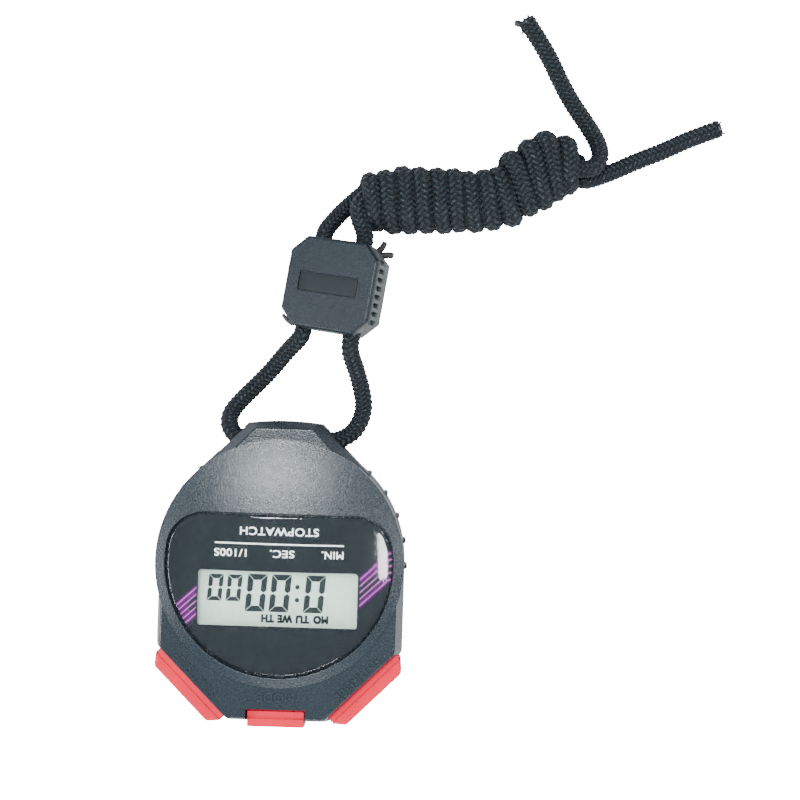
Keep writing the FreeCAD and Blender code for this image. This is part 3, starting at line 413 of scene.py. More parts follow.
def lens_edge(inset, per_arc=48):
    """D outline of the window: a circle cut straight at the bottom, with rounded corners."""
    r, flat, corner = LENS_R - inset, LENS_FLAT + inset, LENS_CORNER - inset
    cy = flat + corner
    cx = math.sqrt((r - corner) ** 2 - cy ** 2)
    tilt = math.atan2(cy, cx)
    points = []
    for i in range(3 * per_arc):
        a = tilt + (math.pi - 2 * tilt) * i / (3 * per_arc)
        points.append((r * math.cos(a), r * math.sin(a)))
    for i in range(per_arc):
        a = math.pi - tilt + (math.pi / 2 + tilt) * i / per_arc
        points.append((-cx + corner * math.cos(a), cy + corner * math.sin(a)))
    for i in range(per_arc):
        points.append((-cx + 2 * cx * i / per_arc, flat))
    for i in range(per_arc):
        a = -math.pi / 2 + (math.pi / 2 + tilt) * i / per_arc
        points.append((cx + corner * math.cos(a), cy + corner * math.sin(a)))
    return points


def inward(points, share):
    """Outline drawn in towards the window's middle."""
    cx, cy = WINDOW_MIDDLE
    return [(cx + (x - cx) * share, cy + (y - cy) * share) for x, y in points]


def make_window():
    """Domed clear window with a rounded upper edge."""
    rings = []
    inner = lens_edge(LENS_EDGE + 0.6)
    shares = [k / WINDOW_RINGS for k in range(1, WINDOW_RINGS + 1)]
    low = LENS_SINK + LENS_T
    for share in shares:
        rings.append([dome(x, y, low) for x, y in inward(inner, share)])
    rings.append([dome(x, y, low) for x, y in lens_edge(0.0)])
    for step in range(RIM_STEPS + 1):
        angle = math.pi / 2 * step / RIM_STEPS
        inset = LENS_EDGE * (1 - math.cos(angle))
        drop = LENS_SINK + LENS_EDGE * (1 - math.sin(angle))
        rings.append([dome(x, y, drop) for x, y in lens_edge(inset)])
    for share in reversed(shares):
        rings.append([dome(x, y, LENS_SINK) for x, y in inward(inner, share)])
    count = len(inner)
    vertices = [p for ring in rings for p in ring]
    faces = ring_faces(count, len(rings), closed_ends=True)
    window = mesh_piece("display_window", vertices, faces, "lens_clear", crease=50)
    # The window's outer side wall takes the black tape material: painted shade of the gap between the window
    # and the case.
    window.data.materials.append(MATERIALS["adhesive_tape"])
    wall = len(shares) * count
    for polygon in window.data.polygons[wall:wall + count]:
        polygon.material_index = 1
    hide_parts("lens")


def window_hole(points):
    """Point of the window's rounded rectangle in the same direction as each point given."""
    x0, x1, y0, y1 = WINDOW
    cx, cy = (x0 + x1) / 2, (y0 + y1) / 2
    half_x, half_y, r = (x1 - x0) / 2, (y1 - y0) / 2, WINDOW_CORNER
    hole = []
    for x, y in points:
        dx, dy = x - cx, y - cy
        scale = min(half_x / abs(dx) if dx else 1e9, half_y / abs(dy) if dy else 1e9)
        px, py = dx * scale, dy * scale
        ex, ey = abs(px) - (half_x - r), abs(py) - (half_y - r)
        if ex > 0 and ey > 0:
            far = math.hypot(ex, ey)
            px = math.copysign(half_x - r + ex * r / far, px)
            py = math.copysign(half_y - r + ey * r / far, py)
        hole.append((cx + px, cy + py))
    return hole


def make_print():
    """Black ink over the whole underside of the window, but for the display's opening."""
    outer = lens_edge(0.1, 96)
    hole = window_hole(outer)
    rings = []
    for step in range(PRINT_RINGS + 1):
        share = step / PRINT_RINGS
        rings.append([dome(a[0] + (b[0] - a[0]) * share, a[1] + (b[1] - a[1]) * share, PRINT_DROP)
                      for a, b in zip(outer, hole)])
    vertices = [p for ring in rings for p in ring]
    mesh_piece("window_print", vertices, ring_faces(len(outer), len(rings)), "mask_print")


STRIPE_SLOPE, STRIPE_PITCH, STRIPE_W = 0.93, 1.7, 0.55
STRIPES = {"left": (-1, 21.0, 2.5), "right": (1, 21.1, 5.8)}      # side, |x| at the display, lowest y there
STRIPE_R = 28.7


def slanting_band(side, x_in, y_low, width, drop):
    """Slanting band of the given height, from beside the display to the window's rim."""
    columns, m = 16, STRIPE_SLOPE
    vertices = []
    for i in range(columns + 1):
        for y_start in (y_low, y_low + width):
            b = y_start - m * side * x_in
            root = math.sqrt(STRIPE_R ** 2 * (1 + m * m) - b * b)
            x_out = (-m * b + side * root) / (1 + m * m)
            x = side * x_in + (x_out - side * x_in) * i / columns
            vertices.append(dome(x, m * x + b, drop))
    faces = [(2 * i, 2 * i + 1, 2 * i + 3, 2 * i + 2) for i in range(columns)]
    if side > 0:
        faces = [face[::-1] for face in faces]
    return vertices, faces


def make_stripes():
    """Two blocks of five light stripes on purple, one on each side of the display."""
    for name, (side, x_in, y_low) in STRIPES.items():
        vertices, faces = slanting_band(side, x_in, y_low, 5 * STRIPE_PITCH, INK_DROP + 0.03)
        mesh_piece("stripe_ground_" + name, vertices, faces, "purple_ink")
        vertices, faces = [], []
        for k in range(5):
            start = y_low + STRIPE_PITCH * k + (STRIPE_PITCH - STRIPE_W) / 2
            more, quads = slanting_band(side, x_in, start, STRIPE_W, INK_DROP)
            faces += [tuple(v + len(vertices) for v in quad) for quad in quads]
            vertices += more
        mesh_piece("stripes_" + name, vertices, faces, "pink_ink")


def letters(text, bold=0.0, depth=0.0):
    """Vertices and faces of a word in the built-in font, scaled to a box from 0 to 1.

    bold thickens the strokes: the word is drawn nine times, moved up to that far to each side.
    """
    curve = bpy.data.curves.new("word", "FONT")
    curve.body = text
    curve.extrude = depth
    curve.space_character = 1.06
    holder = bpy.data.objects.new("word", curve)
    mesh = bpy.data.meshes.new_from_object(holder)
    points = np.array([tuple(v.co) for v in mesh.vertices])
    faces = [tuple(p.vertices) for p in mesh.polygons]
    bpy.data.meshes.remove(mesh)
    bpy.data.objects.remove(holder)
    bpy.data.curves.remove(curve)
    if bold:
        moves = [(x * bold, y * bold, 0.0) for x in (-1, 0, 1) for y in (-1, 0, 1)]
        faces = [tuple(v + k * len(points) for v in face) for k in range(len(moves)) for face in faces]
        points = np.concatenate([points + move for move in moves])
    low, high = points.min(axis=0), points.max(axis=0)
    size = np.where(high - low > 1e-9, high - low, 1.0)
    return (points - low) / size, faces


# each word with its box's left, right, lower and upper edge
WINDOW_WORDS = {"label_title": ("STOPWATCH", -10.1, 10.2, -9.6, -7.5),
                "label_minutes": ("MIN.", -16.6, -11.0, -3.85, -1.85),
                "label_seconds": ("SEC.", -4.0, 2.3, -3.85, -1.85),
                "label_hundredths": ("1/100S", 8.3, 16.7, -3.85, -1.85)}
WINDOW_BOLD = 0.018
LINE_BOX = (-16.6, 16.6, -5.5, -5.1)


def make_lettering():
    """White lettering and the line above the display."""
    for name, (text, x0, x1, y0, y1) in WINDOW_WORDS.items():
        points, faces = letters(text, WINDOW_BOLD)
        vertices = [dome(x0 + (x1 - x0) * p[0], y0 + (y1 - y0) * p[1], INK_DROP) for p in points]
        mesh_piece(name, vertices, faces, "white_ink")
    columns = 24
    x0, x1, y0, y1 = LINE_BOX
    vertices = [dome(x0 + (x1 - x0) * i / columns, y, INK_DROP) for i in range(columns + 1) for y in (y0, y1)]
    faces = [(2 * i, 2 * i + 2, 2 * i + 3, 2 * i + 1) for i in range(columns)]
    mesh_piece("label_line", vertices, faces, "white_ink")


# ---- display -----------------------------------------------------------------------------------

def cell_z():
    """Height at which the digits show, just over the display's front film."""
    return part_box("lcd_polariser")[1].z / MM + 0.05


def zero_segments(width, height, thick):
    """The six lit segments of a 0, mitred at the corners and pointed at half height."""
    gap, half, point = 0.09, height / 2, thick * 0.42
    inside = height - thick
    bar = [(gap, height), (width - gap, height), (width - thick - gap, inside), (thick + gap, inside)]
    post = [(0, height - gap), (0, half + point), (thick * 0.45, half + 0.09), (thick, half + point),
            (thick, height - thick - gap)]
    shapes = [bar, post, [(width - x, y) for x, y in post]]
    return shapes + [[(x, height - y) for x, y in shape] for shape in shapes]


DIGIT_SLANT = math.tan(math.radians(4.5))
# each digit's left and lower edge, width, height and stroke
DIGITS = ((-12.15, 3.1, 5.1, 9.75, 1.5), (-3.2, 3.1, 5.1, 9.75, 1.5), (3.05, 3.1, 5.1, 9.75, 1.5),
          (9.6, 3.4, 3.8, 6.9, 1.1), (14.5, 3.4, 3.8, 6.9, 1.1))
COLON_X, COLON_Y, COLON_R = -4.7, (6.2, 9.6), 0.6
WEEKDAYS = (("MO", -13.0, -9.1), ("TU", -8.1, -4.5), ("WE", -3.65, 0.3), ("TH", 1.1, 4.5))
WEEKDAY_Y, WEEKDAY_H, WEEKDAY_BOLD = 13.5, 2.15, 0.06


def make_digits():
    """0:00 in large digits and 00 in small ones, with the colon and the weekday letters."""
    z = cell_z()
    outlines = []
    for x, y, width, height, thick in DIGITS:
        for shape in zero_segments(width, height, thick):
            outlines.append([(x + px + py * DIGIT_SLANT, y + py) for px, py in shape])
    for y in COLON_Y:
        angles = [math.pi / 8 * k for k in range(16)]
        outlines.append([(COLON_X + COLON_R * math.cos(a), y + COLON_R * math.sin(a)) for a in angles])
    vertices, faces = [], []
    for outline in outlines:
        faces.append(tuple(range(len(vertices), len(vertices) + len(outline))))
        vertices += [mm(x, y, z) for x, y in outline]
    mesh_piece("display_digits", vertices, faces, "lcd_dark")
    vertices, faces = [], []
    for text, x0, x1 in WEEKDAYS:
        points, shapes = letters(text, WEEKDAY_BOLD)
        faces += [tuple(v + len(vertices) for v in shape) for shape in shapes]
        vertices += [mm(x0 + (x1 - x0) * p[0], WEEKDAY_Y + WEEKDAY_H * p[1], z) for p in points]
    mesh_piece("display_weekdays", vertices, faces, "lcd_dark")


# ---- raised labels on the case --------------------------------------------------------------------

FACE_Z = 16.0
LABEL_H, LABEL_RISE, LABEL_SINK = 2.3, 0.3, 0.05
# each label's word, middle, width and turn
CASE_LABELS = {"case_label_mode": ("MODE", 0.0, 34.8, 9.6, 0.0),
               "case_label_split": ("SPLIT/RESET", -21.2, 29.4, 14.6, 45.0),
               "case_label_start": ("START/STOP", 21.2, 29.4, 14.6, -45.0)}


def make_case_labels():
    """Button labels moulded in low relief on the flat rim of the front face."""
    for name, (text, x, y, width, turn) in CASE_LABELS.items():
        points, faces = letters(text, depth=0.05)
        c, s = math.cos(math.radians(turn)), math.sin(math.radians(turn))
        vertices = []
        for p in points:
            a, b = (p[0] - 0.5) * width, (p[1] - 0.5) * LABEL_H
            z = FACE_Z - LABEL_SINK + p[2] * (LABEL_RISE + LABEL_SINK)
            vertices.append(mm(x + a * c - b * s, y + a * s + b * c, z))
        # The letters take the lighter label material, painted light on the relief.
        mesh_piece(name, vertices, faces, "label_painted_light", crease=30)


# ---- contact leaves that the buttons push ---------------------------------------------------------

CASE_SIDES = {"start": (23.0, 33.0, 45.0), "split": (-23.0, 33.0, 135.0), "mode": (0.0, 42.6, 90.0)}
# x is counted from the case side. The CAD's leaves are 0.2 mm thick, and the stem leaves only 0.1 mm
# in front of the terminal at full press, so these are thinner than real ones would be.
LEAF_X, LEAF_T, LEAF_HALF, LEAF_Z = -7.45, 0.06, 5.5, (10.25, 12.7)
LEAF_FOOT = [(-10.4, 5.4), (-9.2, 5.4), (-8.0, 5.4), (-7.66, 5.37), (-7.5, 5.24)]
LEAF_BLADE_START, LEAF_PITCH, LEAF_STEPS = 5.0, 0.235, 44
SEAL_BOX, SEAL_HALF, SEAL_BEVEL = (-5.4, -4.65, 13.15, 13.8), 8.3, 0.12
SEAL_END_IN = 0.08


def on_side(name, x, y, z):
    """Point near a button, in mm: out of the case side, along the side, and up."""
    side_x, side_y, angle = CASE_SIDES[name]
    c, s = math.cos(math.radians(angle)), math.sin(math.radians(angle))
    return mm(side_x + x * c - y * s, side_y + x * s + y * c, z)


def make_dust_seal():
    """Foam strip under the front face, behind the MODE button's slot."""
    x0, x1, z0, z1 = SEAL_BOX
    bevel = SEAL_BEVEL
    profile = [(x0 + bevel, z0), (x1 - bevel, z0), (x1, z0 + bevel), (x1, z1), (x0, z1), (x0, z0 + bevel)]
    stations = [-1.0, -0.985, -0.5, 0.0, 0.5, 0.985, 1.0]
    vertices = []
    for share in stations:
        shrink = SEAL_END_IN if abs(share) == 1.0 else 0.0
        y = share * SEAL_HALF
        vertices += [on_side("mode", min(max(x, x0 + shrink), x1 - shrink), y, max(z, z0 + shrink))
                     for x, z in profile]
    mesh_piece("mode_dust_seal", vertices, ring_faces(len(profile), len(stations), closed_ends=True),
               "adhesive_tape", crease=30)


def make_leaves():
    """Thin spring leaves, one beside each button: the foot stays just over the board."""
    for name in CASE_SIDES:
        run = [(LEAF_X, LEAF_BLADE_START - k * LEAF_PITCH) for k in range(LEAF_STEPS)]
        path = np.array(LEAF_FOOT + run + [(LEAF_X, -LEAF_HALF)])
        along = np.gradient(path, axis=0)
        along /= np.linalg.norm(along, axis=1)[:, None]
        normal = np.stack([-along[:, 1], along[:, 0]], axis=1) * LEAF_T / 2
        vertices = []
        for (x, y), (dx, dy) in zip(path, normal):
            vertices += [on_side(name, x + k * dx, y + k * dy, z)
                         for k, z in ((-1, LEAF_Z[0]), (1, LEAF_Z[0]), (1, LEAF_Z[1]), (-1, LEAF_Z[1]))]
        leaf = loose_mesh(name + "_contact_leaf", vertices, ring_faces(4, len(path), closed_ends=True), 30)
        leaf.data.materials.append(MATERIALS["steel"])
        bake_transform(leaf)
        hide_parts(name + "_leaf")


# ---- cord ---------------------------------------------------------------------------------

CORD_D = 4.5
SLIDER_CENTRE = Vector((-11.9, -72.95, 8.8))
SLIDER_ROLL, SLIDER_TURN = math.radians(19.0), math.radians(-8.5)
SLIDER_L, CHANNEL_NEAR_X, CHANNEL_FAR_X = 24.2, 7.0, 5.9
PANEL_W, PANEL_L, PANEL_CORNER, PANEL_MIDDLE, PANEL_FLOOR = 16.2, 4.8, 0.5, 0.3, 4.4


def channel_end(side, end):
    """Centre of a mouth of the slider's channels: end 1 faces the watch, -1 faces away, in mm."""
    across = Vector((math.cos(SLIDER_ROLL) * math.cos(SLIDER_TURN),
                     math.cos(SLIDER_ROLL) * math.sin(SLIDER_TURN), -math.sin(SLIDER_ROLL)))
    along = Vector((-math.sin(SLIDER_TURN), math.cos(SLIDER_TURN), 0))
    reach = CHANNEL_NEAR_X if end > 0 else CHANNEL_FAR_X
    return SLIDER_CENTRE + across * (side * reach) + along * (end * SLIDER_L / 2)


def near_channel(side, end, distance):
    """Point in line with a channel, outside its mouth, in mm."""
    along = (channel_end(side, 1) - channel_end(side, -1)).normalized()
    return tuple(channel_end(side, end) + along * (end * distance))


LEFT_UPPER = [(0.0, -32.0, 8.6), (-9.6, -32.0, 8.6), (-13.4, -32.0, 8.6), (-17.2, -33.8, 7.6),
              (-19.6, -37.2, 6.6), (-20.5, -41.6, 5.6), (-19.5, -46.4, 5.6), (-18.0, -51.2, 7.4),
              near_channel(-1, 1, 4.2), near_channel(-1, 1, 0.0)]
RIGHT_UPPER = [(0.0, -32.0, 8.6), (9.6, -32.0, 8.6), (11.9, -32.0, 8.6), (14.3, -33.4, 8.2),
               (15.6, -35.9, 7.0), (15.3, -38.8, 5.6), (12.8, -42.2, 4.2), (8.8, -46.4, 3.0),
               (4.6, -51.0, 2.7), (0.6, -56.0, 4.4), near_channel(1, 1, 2.6), near_channel(1, 1, 0.0)]
LEFT_LOWER = [near_channel(-1, -1, 0.0), near_channel(-1, -1, 2.8), (-17.4, -91.6, 11.2),
              (-17.5, -95.0, 10.2), (-19.9, -97.4, 8.8), (-23.4, -97.9, 7.8)]
RIGHT_LOWER = [near_channel(1, -1, 0.0), near_channel(1, -1, 2.6), (-12.2, -92.9, 5.2),
               (-15.8, -96.6, 4.2), (-19.0, -99.6, 3.2)]
CORE = [(-34.0, -97.2, 7.0), (-45.0, -97.2, 6.8), (-55.0, -98.8, 7.0), (-64.0, -104.6, 7.4)]
END_A = [(-76.4, -103.7, 4.4), (-81.0, -105.0, 3.4), (-86.4, -107.4, 2.6),
         (-92.6, -110.4, 2.4), (-99.4, -113.2, 2.4), (-106.4, -116.8, 2.3), (-114.1, -119.7, 2.35)]
END_B = [(-72.0, -106.4, 9.2), (-75.8, -106.2, 9.1), (-79.8, -106.7, 8.4), (-81.8, -110.3, 6.6),
         (-80.8, -114.8, 4.4), (-78.0, -119.7, 3.0), (-74.3, -124.9, 2.4), (-70.9, -130.6, 2.4),
         (-67.9, -136.8, 2.3), (-64.4, -142.4, 2.4), (-60.9, -147.4, 2.35)]

TURNS = 13.0
POINTS_PER_TURN = 18
HANK_START_X, HANK_END_X = -20.0, -75.2
# distance along the wound part, and where its axis lies and the turns' half width there
HANK_X = (20.0, 32.0, 49.0, 52.0, 55.0, 57.5, 61.0, 64.0, 67.0, 70.0, 73.3, 76.0)
HANK_MIDDLE = (-96.2, -96.9, -97.1, -97.6, -98.3, -100.1, -102.8, -104.7, -106.4, -107.4, -107.2, -106.0)
HANK_WIDE = (5.6, 6.8, 6.2, 6.0, 5.9, 6.9, 7.6, 8.4, 8.3, 7.6, 5.2, 3.5)
START_ANGLE = 222.0     # where the first turn begins, counted from +Y over the top
HANK_AXIS_Z = 7.0
HANK_HIGH, HANK_TAPER = 4.7, 0.5        # half height of the turns, and how much less it is at the end
HANK_SIDEWAYS_POWER, HANK_UP_POWER = 0.85, 0.9      # below 1 they make the turns' section boxier
SPREAD_BY, SHIFT_BY = 0.7, 0.55         # random change of each turn's width and place


def ease(value, low, high):
    """0 below low, 1 above high, and smooth between."""
    t = min(1.0, max(0.0, (value - low) / (high - low)))
    return t * t * (3 - 2 * t)


def hank_middle(x):
    """Where the wound part's axis runs, in plan."""
    return float(np.interp(-x, HANK_X, HANK_MIDDLE))


def wrap_size(x):
    """Half width and half height of the turns' centreline."""
    return float(np.interp(-x, HANK_X, HANK_WIDE)), HANK_HIGH - HANK_TAPER * ease(-x, 70.0, 76.0)


def wraps():
    """Points of the turns that the right strand makes round the left one."""
    rng = random.Random(11)
    total = int(TURNS * POINTS_PER_TURN)
    spread = [rng.uniform(-SPREAD_BY, SPREAD_BY) for _ in range(int(TURNS) + 3)]
    shift = [rng.uniform(-SHIFT_BY, SHIFT_BY) for _ in range(int(TURNS) + 3)]
    points = []
    for i in range(total + 1):
        turn = i / POINTS_PER_TURN
        first = int(turn)
        blend = ease(turn - first, 0.0, 1.0)
        wide_by = spread[first] * (1 - blend) + spread[first + 1] * blend
        shift_by = shift[first] * (1 - blend) + shift[first + 1] * blend
        x = HANK_START_X + (HANK_END_X - HANK_START_X) * i / total + shift_by
        slope = (hank_middle(x + 1.5) - hank_middle(x - 1.5)) / 3 * 0.3
        size = math.sqrt(1 + slope * slope)
        angle = math.radians(START_ANGLE - 360 * turn)
        wide, high = wrap_size(x)
        c, s = math.cos(angle), math.sin(angle)
        across = (wide + wide_by) * math.copysign(abs(c) ** HANK_SIDEWAYS_POWER, c)
        up = high * math.copysign(abs(s) ** HANK_UP_POWER, s)
        points.append((x - slope * across / size, hank_middle(x) + across / size, HANK_AXIS_Z + up))
    return points


def centreline(name, points):
    """NURBS curve through the route's control points, and the smooth line that it makes, in metres."""
    curve = bpy.data.curves.new(name, "CURVE")
    curve.dimensions = "3D"
    spline = curve.splines.new("NURBS")
    spline.points.add(len(points) - 1)
    for point, place in zip(spline.points, points):
        point.co = (*mm(*place), 1.0)
    spline.order_u = 3
    spline.use_endpoint_u = True
    spline.resolution_u = 8
    holder = bpy.data.objects.new(name, curve)
    mesh = bpy.data.meshes.new_from_object(holder)
    line = np.array([tuple(v.co) for v in mesh.vertices])
    bpy.data.meshes.remove(mesh)
    bpy.data.objects.remove(holder)
    bpy.data.curves.remove(curve)
    return line


def even(line, step):
    """The same line with points a fixed step apart."""
    along = np.concatenate([[0], np.cumsum(np.linalg.norm(np.diff(line, axis=0), axis=1))])
    at = np.linspace(0, along[-1], max(2, int(along[-1] / step) + 1))
    return np.stack([np.interp(at, along, line[:, k]) for k in range(3)], axis=1)


def rings_along(line):
    """Two unit vectors across the line at each of its points, carried along without twist."""
    tangent = np.gradient(line, axis=0)
    tangent /= np.linalg.norm(tangent, axis=1)[:, None]
    side = np.cross(tangent[0], (0.0, 0.0, 1.0))
    if np.linalg.norm(side) < 0.1:
        side = np.cross(tangent[0], (0.0, 1.0, 0.0))
    side /= np.linalg.norm(side)
    sides = []
    for direction in tangent:
        side = side - direction * side.dot(direction)
        side /= np.linalg.norm(side)
        sides.append(side)
    sides = np.array(sides)
    return sides, np.cross(tangent, sides)


CARRIERS = 8            # yarns each way round the braid
YARN_STEP = 1.35        # length along the cord from one yarn to the next
RELIEF = 0.56           # height of the yarns' crowns above the valleys between them
CROWN_RISE = 0.22       # how far the crowns stand out of the cord's nominal surface
SIDES = 48
RING_STEP = 0.34
SQUEEZE = 0.20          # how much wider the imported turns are, along the wound part


def braid_relief(across, along):
    """Height of the braid, 0 to 1. Each yarn passes over two and under two. Arguments count yarns."""
    u, v = across + along, across - along
    low_u, low_v = np.floor(u), np.floor(v)
    u_above = np.mod(low_u + low_v, 4) < 2
    side = np.where(u_above, u - low_u, v - low_v)
    run = np.where(u_above, np.mod(low_u + v, 4), np.mod(u + low_v, 4) - 2) / 2
    crown = np.clip(np.sin(np.pi * side), 0, 1) ** 0.6
    return crown * (0.3 + 0.7 * np.clip(np.sin(np.pi * run), 0, 1) ** 0.7)


def wound_share(path):
    """1 where a path is in the wound part, 0 outside it, and a smooth change between."""
    along = np.arange(len(path)) * np.linalg.norm(path[1] - path[0]) / MM
    inside = (path[:, 0] < (HANK_START_X - 1) * MM) & (path[:, 0] > (HANK_END_X - 1) * MM)
    inside &= path[:, 1] > -120 * MM
    first, last = along[inside][0], along[inside][-1]
    return np.clip((along - first) / 6, 0, 1) * np.clip((last - along) / 6, 0, 1)


def braided(name, line, squeezed=False):
    """Braided cord whose surface follows the line; returns the piece and the line's points."""
    path = even(line, RING_STEP * MM)
    side, up = rings_along(path)
    count = len(path)
    step = float(np.linalg.norm(path[1] - path[0])) / MM
    along = (np.arange(count) * step / YARN_STEP)[:, None]
    share = np.arange(SIDES + 1) / SIDES
    relief = braid_relief(share[None, :SIDES] * CARRIERS, along)
    radius = (CORD_D / 2 + CROWN_RISE - RELIEF * (1 - relief)) * MM
    angle = share[None, :SIDES, None] * 2 * math.pi
    outward = np.cos(angle) * side[:, None, :] + np.sin(angle) * up[:, None, :]
    if squeezed:
        outward[..., 0] *= 1 + SQUEEZE * wound_share(path)[:, None]
    rings = path[:, None, :] + radius[..., None] * outward
    faces = ring_faces(SIDES, count, closed_ends=True)
    piece = mesh_piece(name, rings.reshape(-1, 3), faces, "cord_braid")
    layer = piece.data.uv_layers.new(name="braid")
    ring, corner = np.meshgrid(np.arange(count - 1), np.arange(SIDES), indexing="ij")
    uv = np.zeros((count - 1, SIDES, 4, 2), dtype=np.float32)
    for k, (more_ring, more_side) in enumerate(((0, 0), (0, 1), (1, 1), (1, 0))):
        uv[:, :, k, 0] = (corner + more_side) / SIDES * CARRIERS
        uv[:, :, k, 1] = (ring + more_ring) * step / YARN_STEP
    flat = np.zeros(len(piece.data.loops) * 2, dtype=np.float32)
    flat[:uv.size] = uv.reshape(-1)
    layer.data.foreach_set("uv", flat)
    return piece, path


def yarn(points, thick, taper=0.5, sides=7):
    """Vertices and faces of a short tapering yarn through points in mm."""
    line = centreline("yarn", points)
    side, up = rings_along(line)
    vertices = []
    for i, place in enumerate(line):
        radius = thick / 2 * (1 - taper * (i / (len(line) - 1)) ** 2) * MM
        for k in range(sides):
            a = 2 * math.pi * k / sides
            vertices.append(place + radius * (math.cos(a) * side[i] + math.sin(a) * up[i]))
    return vertices, ring_faces(sides, len(line), closed_ends=True)


def joined(name, forms, material):
    vertices, faces = [], []
    for more, shapes in forms:
        faces += [tuple(v + len(vertices) for v in shape) for shape in shapes]
        vertices += list(more)
    return mesh_piece(name, vertices, faces, material, crease=60)


def melted_tip(name, path, seed, strays):
    """Fused end of the cord: a lumpy cap with short yarn ends standing out of it."""
    rng = random.Random(seed)
    tip = Vector(path[-1]) / MM
    along = (Vector(path[-1]) - Vector(path[-8])).normalized()
    side = along.cross(Vector((0, 0, 1))).normalized()
    up = side.cross(along)
    rings, count = [], 24
    lumps = [rng.uniform(0, 6.3) for _ in range(4)]
    for ring in range(9):
        share = ring / 8
        reach = 1.1 * math.sin(share * math.pi / 2) - 0.9
        for k in range(count):
            a = 2 * math.pi * k / count
            lump = (0.14 * math.sin(3 * a + lumps[0] + 2 * share) + 0.10 * math.sin(5 * a + lumps[1])
                    + 0.08 * math.sin(8 * a + lumps[2] - 3 * share))
            radius = (CORD_D / 2 + 0.12 + lump) * (math.cos(share * math.pi / 2) ** 0.4 if ring < 8 else 0.04)
            sink = 0.25 * math.sin(2 * a + lumps[3]) * share
            outward = side * math.cos(a) + up * math.sin(a)
            rings.append((tip + along * (reach + sink) + outward * radius) * MM)
    forms = [(rings, ring_faces(count, 9, closed_ends=True))]
    for ahead, sideways, lift, thick in strays:
        start = tip + side * (sideways * 0.55) + along * -0.4
        middle = tip + side * (sideways * 0.9) + along * (ahead * 0.6) + up * (lift * 0.5)
        end = tip + side * (sideways * 1.1) + along * ahead + up * lift
        forms.append(yarn([tuple(start), tuple(middle), tuple(end)], thick, 0.15 if thick > 1 else 0.5))
    return joined(name, forms, "cord_melt")


TIP_A_STRAYS = [(0.9, 1.7, 0.6, 0.7), (1.2, -1.5, 0.4, 0.6), (0.8, 0.2, 1.0, 0.5), (1.0, -0.6, 0.2, 0.6)]
TIP_B_STRAYS = [(1.0, -2.7, 0.3, 1.8), (-3.6, -3.0, 0.4, 0.5), (0.9, 1.0, 0.8, 0.8), (0.7, -0.5, 1.1, 0.7)]


def make_cords():
    left_line = centreline("left_route", LEFT_UPPER + LEFT_LOWER + CORE + END_B)
    right_line = centreline("right_route", RIGHT_UPPER + RIGHT_LOWER + wraps() + END_A)
    left, left_path = braided("neck_cord_left", left_line)
    right, right_path = braided("neck_cord_right", right_line, squeezed=True)
    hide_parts("cord_in_lug", "cord_left_upper", "cord_left_in_slider", "cord_left_lower",
                "cord_end_b")
    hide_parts("cord_right_upper", "cord_right_in_slider", "cord_right_lower", "cord_hank",
                "cord_end_a")
    tip_b = melted_tip("cord_tip_left", left_path, 3, TIP_B_STRAYS)
    tip_a = melted_tip("cord_tip_right", right_path, 5, TIP_A_STRAYS)
    panel, flash = slider_recess_shade(), slider_flash()
    for name, path in (("left", left_path), ("right", right_path)):
        print(name, "cord:", round(float(np.linalg.norm(np.diff(path, axis=0), axis=1).sum()), 4), "m")


def slider_place(x, y, z):
    """Point given in the slider's own axes, in mm: across, along and out of its front."""
    along = Vector((-math.sin(SLIDER_TURN), math.cos(SLIDER_TURN), 0))
    across = Vector((math.cos(SLIDER_ROLL) * math.cos(SLIDER_TURN),
                     math.cos(SLIDER_ROLL) * math.sin(SLIDER_TURN), -math.sin(SLIDER_ROLL)))
    return (SLIDER_CENTRE + across * x + along * y + across.cross(along) * z) * MM


def slider_recess_shade():
    """Smooth blank plate that lies in the recess of the slider's front; its darker plastic is painted shade
    of the recess.
    """
    half_w, half_l = PANEL_W / 2, PANEL_L / 2
    rings = []
    for inset, z in ((0.0, PANEL_FLOOR), (0.0, PANEL_FLOOR + 0.16), (0.05, PANEL_FLOOR + 0.22),
                     (0.5, PANEL_FLOOR + 0.24), (1.6, PANEL_FLOOR + 0.24)):
        r = max(0.25, PANEL_CORNER - inset)
        for cx, cy, first in ((1, 1, 0), (-1, 1, 90), (-1, -1, 180), (1, -1, 270)):
            for k in range(6):
                a = math.radians(first + 18 * k)
                x = cx * (half_w - inset - r) + r * math.cos(a)
                y = cy * (half_l - inset - r) + r * math.sin(a)
                rings.append(slider_place(PANEL_MIDDLE + x, y, z))
    return mesh_piece("slider_recess_shade", rings, ring_faces(24, 5, closed_ends=True), "recess_shade_plastic",
                      crease=40)


def slider_flash():
    """Torn bits of moulding flash on two corners of the slider's back half."""
    forms = [yarn([(-21.6, -81.6, 7.6), (-24.0, -83.4, 8.6), (-24.7, -85.0, 9.6)], 1.8, taper=0.15),
             yarn([(-22.6, -81.2, 7.8), (-25.0, -82.2, 8.6), (-26.9, -81.7, 9.2)], 1.9, taper=0.15),
             yarn([(-0.6, -62.9, 4.6), (1.5, -64.2, 4.4), (2.3, -65.6, 4.2)], 1.3, taper=0.2)]
    return joined("slider_flash", forms, "flash_plastic")


# ---- stage --------------------------------------------------------------------------------

CAMERA_FROM_MIDDLE = Vector((0.01084, 0.00875, 0.32008))
LENS_MM, CAMERA_TURN = 54.4, 181.8


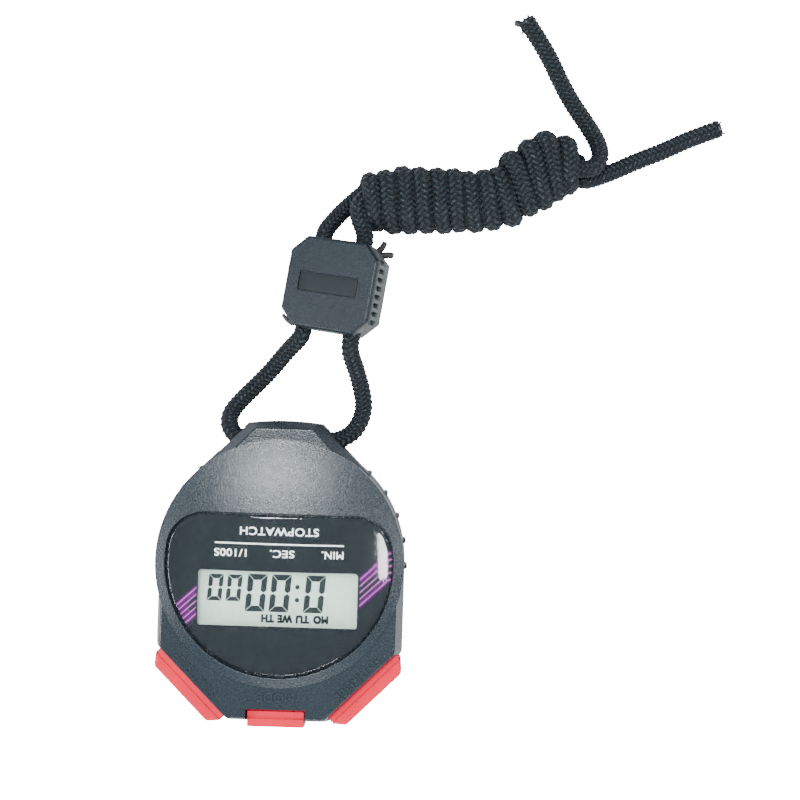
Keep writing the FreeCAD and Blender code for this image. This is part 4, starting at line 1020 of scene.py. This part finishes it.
def make_camera():
    """Looks straight down on the watch and its cord, turned nearly half round."""
    data = bpy.data.cameras.new("camera")
    data.sensor_width = 36.0
    data.lens = LENS_MM
    data.clip_start = 0.01
    camera = bpy.data.objects.new("camera", data)
    low, high = Vector(CAD_BOX[0]), Vector(CAD_BOX[1])
    camera.location = (low + high) / 2 + CAMERA_FROM_MIDDLE
    camera.rotation_euler = (0, 0, math.radians(CAMERA_TURN))
    bpy.context.scene.collection.objects.link(camera)
    bpy.context.scene.camera = camera


def make_floor():
    """Pale table. The camera sees it blown out to white, and the object sees it grey-white."""
    t = Tree("floor_paper")
    paper = t.noise(300.0, 2.0)
    plain = t.principled(Base_Color=t.ramp(paper, [(0.3, (0.55, 0.55, 0.56)), (0.7, (0.6, 0.6, 0.61))]))
    plain.inputs["Roughness"].default_value = 0.8
    bright = t.node("Emission")
    bright.inputs["Color"].default_value = (1.0, 1.0, 1.0, 1.0)
    bright.inputs["Strength"].default_value = 20.0
    rays = t.node("LightPath")
    both = t.node("MixShader", Fac=rays.outputs["Is Camera Ray"])
    t.links.new(plain.outputs["BSDF"], both.inputs[1])
    t.links.new(bright.outputs["Emission"], both.inputs[2])
    data = bpy.data.meshes.new("floor")
    size = 3.0
    corners = [(-size, -size, 0), (size, -size, 0), (size, size, 0), (-size, size, 0)]
    data.from_pydata(corners, [], [(0, 1, 2, 3)])
    floor = bpy.data.objects.new("floor", data)
    floor.data.materials.append(t.finish(both.outputs["Shader"]))
    floor.location.z = -0.0001
    bpy.context.scene.collection.objects.link(floor)


def make_world():
    """Studio dome: bright overhead, dimmer towards the horizon."""
    world = bpy.data.worlds.new("studio")
    world.use_nodes = True
    nodes, links = world.node_tree.nodes, world.node_tree.links
    direction = nodes.new("ShaderNodeTexCoord")
    parts = nodes.new("ShaderNodeSeparateXYZ")
    shade = nodes.new("ShaderNodeValToRGB")
    stops = shade.color_ramp.elements
    stops[0].position, stops[0].color = 0.0, (0.14, 0.19, 0.245, 1)
    stops[1].position, stops[1].color = 0.95, (0.52, 0.63, 0.725, 1)
    links.new(direction.outputs["Generated"], parts.inputs[0])
    links.new(parts.outputs["Z"], shade.inputs["Fac"])
    links.new(shade.outputs["Color"], nodes["Background"].inputs["Color"])
    nodes["Background"].inputs["Strength"].default_value = 1.0
    bpy.context.scene.world = world


def softbox(name, place, aim, size, power, colour=(1, 1, 1), roll=0.0):
    data = bpy.data.lights.new(name, "AREA")
    data.shape = "RECTANGLE"
    data.size, data.size_y = size
    data.energy = power
    data.color = colour
    lamp = bpy.data.objects.new(name, data)
    lamp.location = place
    turned = (Vector(aim) - Vector(place)).to_track_quat("-Z", "Y")
    turned = turned @ Quaternion((0.0, 0.0, 1.0), math.radians(roll))
    lamp.rotation_euler = turned.to_euler()
    bpy.context.scene.collection.objects.link(lamp)


def make_lights():
    softbox("key", mm(68, -180, 620), mm(2, -18, 10), (0.14, 0.14), 4.0, (0.95, 1.0, 1.0))
    softbox("window_light", mm(-326, 72, 850), mm(-27, -3, 17), (0.19, 0.036), 1.4, (1.0, 0.97, 1.0), roll=18)
    softbox("side_right", mm(750, 150, 520), mm(0, 0, 0), (0.5, 0.5), 9.0)
    softbox("side_left", mm(-800, -330, 480), mm(-30, -40, 0), (0.5, 0.5), 6.5)
    softbox("front", mm(-60, 760, 500), mm(0, 0, 0), (0.5, 0.4), 7.0)


# ---- everything in its place ------------------------------------------------------------------

dress_cad_nodes()
make_window()
make_print()
make_stripes()
make_lettering()
make_digits()
make_case_labels()
make_leaves()
make_dust_seal()
make_cords()
make_camera()
make_floor()
make_world()
make_lights()
